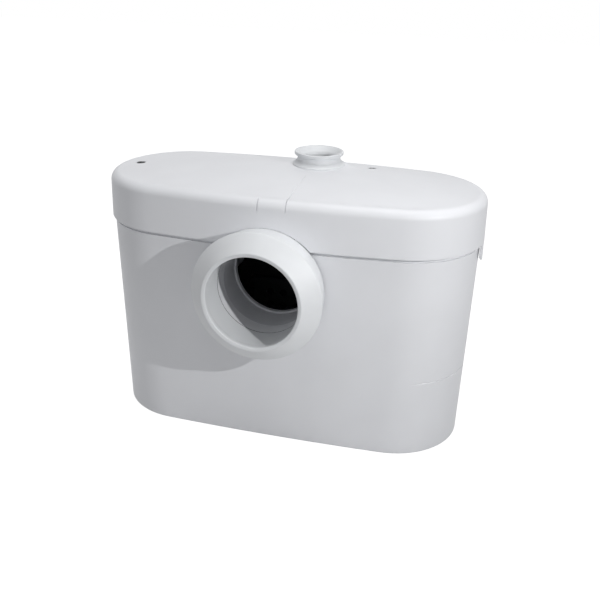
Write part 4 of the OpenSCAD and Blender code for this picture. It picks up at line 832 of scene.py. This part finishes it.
class PUMP_OT_stage(bpy.types.Operator):
    """Makes the camera, the pale floor, the white surround and the lamps"""
    bl_idname = "pump.stage"
    bl_label = "Stage"

    def execute(self, context):
        scene = context.scene
        g = scene.pump_stage
        scene.view_settings.view_transform = "Standard"
        lens = bpy.data.cameras.new("photo_camera")
        lens.sensor_width, lens.lens = SENSOR, LENS
        lens.clip_start, lens.clip_end = 0.01, 50
        eye = bpy.data.objects.new("photo_camera", lens)
        eye.matrix_world = Matrix.Translation(EYE_PLACE) @ Matrix(EYE_AXES).transposed().to_4x4()
        scene.collection.objects.link(eye)
        scene.camera = eye

        sheet = bpy.data.meshes.new("floor")
        half = 4.0
        corners = [(-half, -half, 0), (half, -half, 0), (half, half, 0), (-half, half, 0)]
        sheet.from_pydata(corners, [], [(0, 1, 2, 3)])
        floor = add_object("floor", sheet)
        # white studio paper: matt with a faint fibre, lit up where it is seen
        paper = bpy.data.materials.new("white_studio_paper")
        tree = empty_tree(paper)
        place = add(tree, "ShaderNodeTexCoord").outputs["Object"]
        fibre = add(tree, "ShaderNodeTexNoise", {"Vector": place, "Scale": 1 / (2 * MM), "Detail": 2.0})
        bump = add(tree, "ShaderNodeBump", {"Height": fibre.outputs["Fac"], "Strength": 0.2,
                                            "Distance": 0.05 * MM}).outputs["Normal"]
        matt = add(tree, "ShaderNodeBsdfDiffuse", {"Color": linear("#9A9A9A"), "Normal": bump})
        glow = add(tree, "ShaderNodeEmission", {"Color": linear("#FFFFFF"), "Strength": 0.935})
        seen = add(tree, "ShaderNodeAddShader", {0: matt.outputs[0], 1: glow.outputs[0]})
        pale = add(tree, "ShaderNodeBsdfDiffuse", {"Color": linear("#D0D0D0")})
        direct = seen_directly(tree)
        both = add(tree, "ShaderNodeMixShader", {0: direct, 1: pale.outputs[0], 2: seen.outputs[0]})
        add(tree, "ShaderNodeOutputMaterial", {"Surface": both.outputs[0]})
        sheet.materials.append(paper)

        world = bpy.data.worlds.new("white_surround")
        tree = empty_tree(world)
        white = add(tree, "ShaderNodeBackground", {"Color": linear("#FFFFFF"), "Strength": 1.0})
        soft = add(tree, "ShaderNodeBackground", {"Color": linear("#FBFCFF"), "Strength": g.ambient})
        direct = seen_directly(tree)
        both = add(tree, "ShaderNodeMixShader", {0: direct, 1: soft.outputs[0], 2: white.outputs[0]})
        add(tree, "ShaderNodeOutputWorld", {"Surface": both.outputs[0]})
        scene.world = world

        middle = (0, 0, 0.13)
        self.lamp("key_lamp", "SPOT", g.key, (0.630, -0.460, 0.515), (-0.15, -0.10, 0.125),
                  shadow_soft_size=0.005, spot_size=math.radians(66), spot_blend=1.0)
        self.lamp("front_fill", "AREA", g.fill, (-0.2, -2.1, 0.6), middle, shape="SQUARE", size=1.6)
        self.lamp("overhead_box", "AREA", g.top, (0.1, -0.05, 2.1), middle, shape="SQUARE", size=1.0)
        return {"FINISHED"}

    @staticmethod
    def lamp(name, kind, watts, place, aim, **settings):
        """A lamp at a place, turned towards a point."""
        light = bpy.data.lights.new(name, kind)
        light.energy = watts
        for key, value in settings.items():
            setattr(light, key, value)
        lamp = bpy.data.objects.new(name, light)
        lamp.location = place
        lamp.rotation_euler = (Vector(place) - Vector(aim)).to_track_quat("Z", "Y").to_euler()
        bpy.context.scene.collection.objects.link(lamp)


class PUMP_OT_lid(bpy.types.Operator):
    """Makes the domed lid with its skirt, arch, grooves, recesses and clip tab"""
    bl_idname = "pump.lid"
    bl_label = "Lid"

    def execute(self, context):
        g = context.scene.pump_lid
        piece = add_object("lid_moulding", merged(mesh_of("lid_moulding", lid_shells(g))))
        dress(piece, moulded_white("moulded_abs_lid", g.white), "lid", "white_abs", "lid_shell")
        return {"FINISHED"}


class PUMP_OT_tank(bpy.types.Operator):
    """Makes the tapered oval tank with its throat hole and cable hole, a black sheet of painted shade inside
    it and its screw lugs
    """
    bl_idname = "pump.tank"
    bl_label = "Tank"

    def execute(self, context):
        g, lid = context.scene.pump_tank, context.scene.pump_lid
        shells = tank_shells(g, lid)
        tank = add_object("tank_moulding", merged(mesh_of("tank_moulding", shells[:1])))
        holes = [hole_cutter("throat_hole", 50.1, -100, -60, 96, (INLET_X, INLET_Z)),
                 hole_cutter("cable_hole", 7.05, 65, 100, 48, (GROMMET_X, GROMMET_Z))]
        cut_away(tank, holes)
        shade_sheet = add_object("tank_painted_shade", merged(mesh_of("tank_painted_shade", shells[1:2])))
        cut_away(shade_sheet, holes)
        lugs = add_object("tank_lugs", mesh_of("tank_lugs", shells[2:]))
        white = moulded_white("moulded_abs_tank", lid.white)
        dress(tank, white, "tank", "white_abs", "tank_body", "tank_floor")
        dress(lugs, white, "tank", "white_abs")
        # black sheet inside the tank, soft and quite matt: painted shade that makes the inside read dark
        dress(shade_sheet, finish("black_painted_shade_sheet", "#1C1C1D", "#151516", (0.8, 0.92),
                             grain=1.2, height=0.06), "tank", "black_rubber")
        return {"FINISHED"}


class PUMP_OT_sleeve(bpy.types.Operator):
    """Makes the inlet's rubber sleeve, the throat behind it, the packing whose near-black paints the joint's
    shade line, and the pale liner inside
    """
    bl_idname = "pump.sleeve"
    bl_label = "Sleeve and throat"

    def execute(self, context):
        g, lid = context.scene.pump_rubber, context.scene.pump_lid
        at = (INLET_X, INLET_Z)
        sleeve = turned_piece("sleeve_rubber", sleeve_profile(g), 180, at, "Y")
        dress(sleeve, white_rubber("moulded_white_rubber", g.white), "tank", "white_rubber", "inlet_sleeve")
        throat = turned_piece("throat_moulding", throat_profile(g), 144, at, "Y")
        dress(throat, moulded_white("moulded_abs_throat", lid.white), "tank", "white_abs", "inlet_throat")
        liner = turned_piece("throat_ring", liner_profile(), 144, at, "Y")
        packing = turned_piece("sleeve_joint", packing_profile(g), 144, at, "Y")
        # packing ring in the joint, nearly black and dull: a real part, whose near-black is painted shade for
        # the shade line in the joint
        dress(packing, finish("near_black_packing_painted_shade", "#2E2F31", "#262729", (0.6, 0.72),
                              grain=0.7, height=0.03), "tank", "black_rubber")
        # pale silicone rubber: dull, with a fine talc-like mottle
        dress(liner, finish("pale_silicone_rubber", "#CCCDD1", "#C2C3C7", (0.55, 0.68),
                            grain=0.7, height=0.03), "tank", "white_rubber")
        return {"FINISHED"}


class PUMP_OT_collar(bpy.types.Operator):
    """Makes the rubber discharge collar on the lid"""
    bl_idname = "pump.collar"
    bl_label = "Discharge collar"

    def execute(self, context):
        g = context.scene.pump_rubber
        profile = collar_profile(context.scene.pump_lid.seat_z)
        collar = turned_piece("collar_rubber", profile, 144, (COLLAR_X, COLLAR_Y), "Z")
        dress(collar, white_rubber("moulded_white_rubber_collar", g.white), "lid", "white_rubber",
              "discharge_collar")
        return {"FINISHED"}


class PUMP_OT_spring(bpy.types.Operator):
    """Makes the plunger's return spring as a fixed coil; the real spring shortens as the plunger rises, which
    this coil does not do
    """
    bl_idname = "pump.spring"
    bl_label = "Plunger spring"

    def execute(self, context):
        low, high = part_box("plunger_spring")
        wire = shell(spring_grid(low, high), closed=False)
        coil = add_object("spring_coil", merged(mesh_of("spring_coil", [wire])))
        # drawn spring steel: bright, with fine lines along the wire
        dress(coil, finish("drawn_spring_steel", "#BFC1C4", "#A9ACB0", (0.25, 0.38),
                           metallic=1.0, grain=0.4, height=0.004, mottle=6), None, "steel", "plunger_spring")
        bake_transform(coil)
        return {"FINISHED"}


class PUMP_OT_works(bpy.types.Operator):
    """Gives every solid of the inner works its own finish"""
    bl_idname = "pump.works"
    bl_label = "Finishes of the works"

    def execute(self, context):
        for material, names in inner_finishes().items():
            for name in names.split():
                NODES[name].data.materials.clear()
                NODES[name].data.materials.append(material)
        return {"FINISHED"}


class PUMP_PT_panel(bpy.types.Panel):
    """Lists the pump's pieces and sizes"""
    bl_idname = "PUMP_PT_panel"
    bl_label = "Macerator pump"
    bl_space_type = "VIEW_3D"
    bl_region_type = "UI"
    bl_category = "Pump"

    def draw(self, context):
        for kind in OPERATORS:
            self.layout.operator(kind.bl_idname)
        for name in GROUPS:
            box = self.layout.box()
            group = getattr(context.scene, name)
            for key in group.__annotations__:
                box.prop(group, key)


OPERATORS = (PUMP_OT_stage, PUMP_OT_tank, PUMP_OT_lid, PUMP_OT_sleeve, PUMP_OT_collar, PUMP_OT_spring,
             PUMP_OT_works)
GROUPS = {"pump_lid": PumpLidSettings, "pump_tank": PumpTankSettings, "pump_rubber": PumpRubberSettings,
          "pump_stage": PumpStageSettings}


def register():
    """Registers the settings, the operators and the panel."""
    for kind in (*GROUPS.values(), *OPERATORS, PUMP_PT_panel):
        bpy.utils.register_class(kind)
    for name, kind in GROUPS.items():
        setattr(bpy.types.Scene, name, PointerProperty(type=kind))


def unregister():
    """Takes the settings, the operators and the panel away again."""
    for name in GROUPS:
        delattr(bpy.types.Scene, name)
    for kind in (PUMP_PT_panel, *OPERATORS[::-1], *GROUPS.values()):
        bpy.utils.unregister_class(kind)


def main():
    register()
    bpy.ops.pump.stage()
    bpy.ops.pump.tank()
    bpy.ops.pump.lid()
    bpy.ops.pump.sleeve()
    bpy.ops.pump.collar()
    bpy.ops.pump.spring()
    bpy.ops.pump.works()


if __name__ == "__main__":
    main()
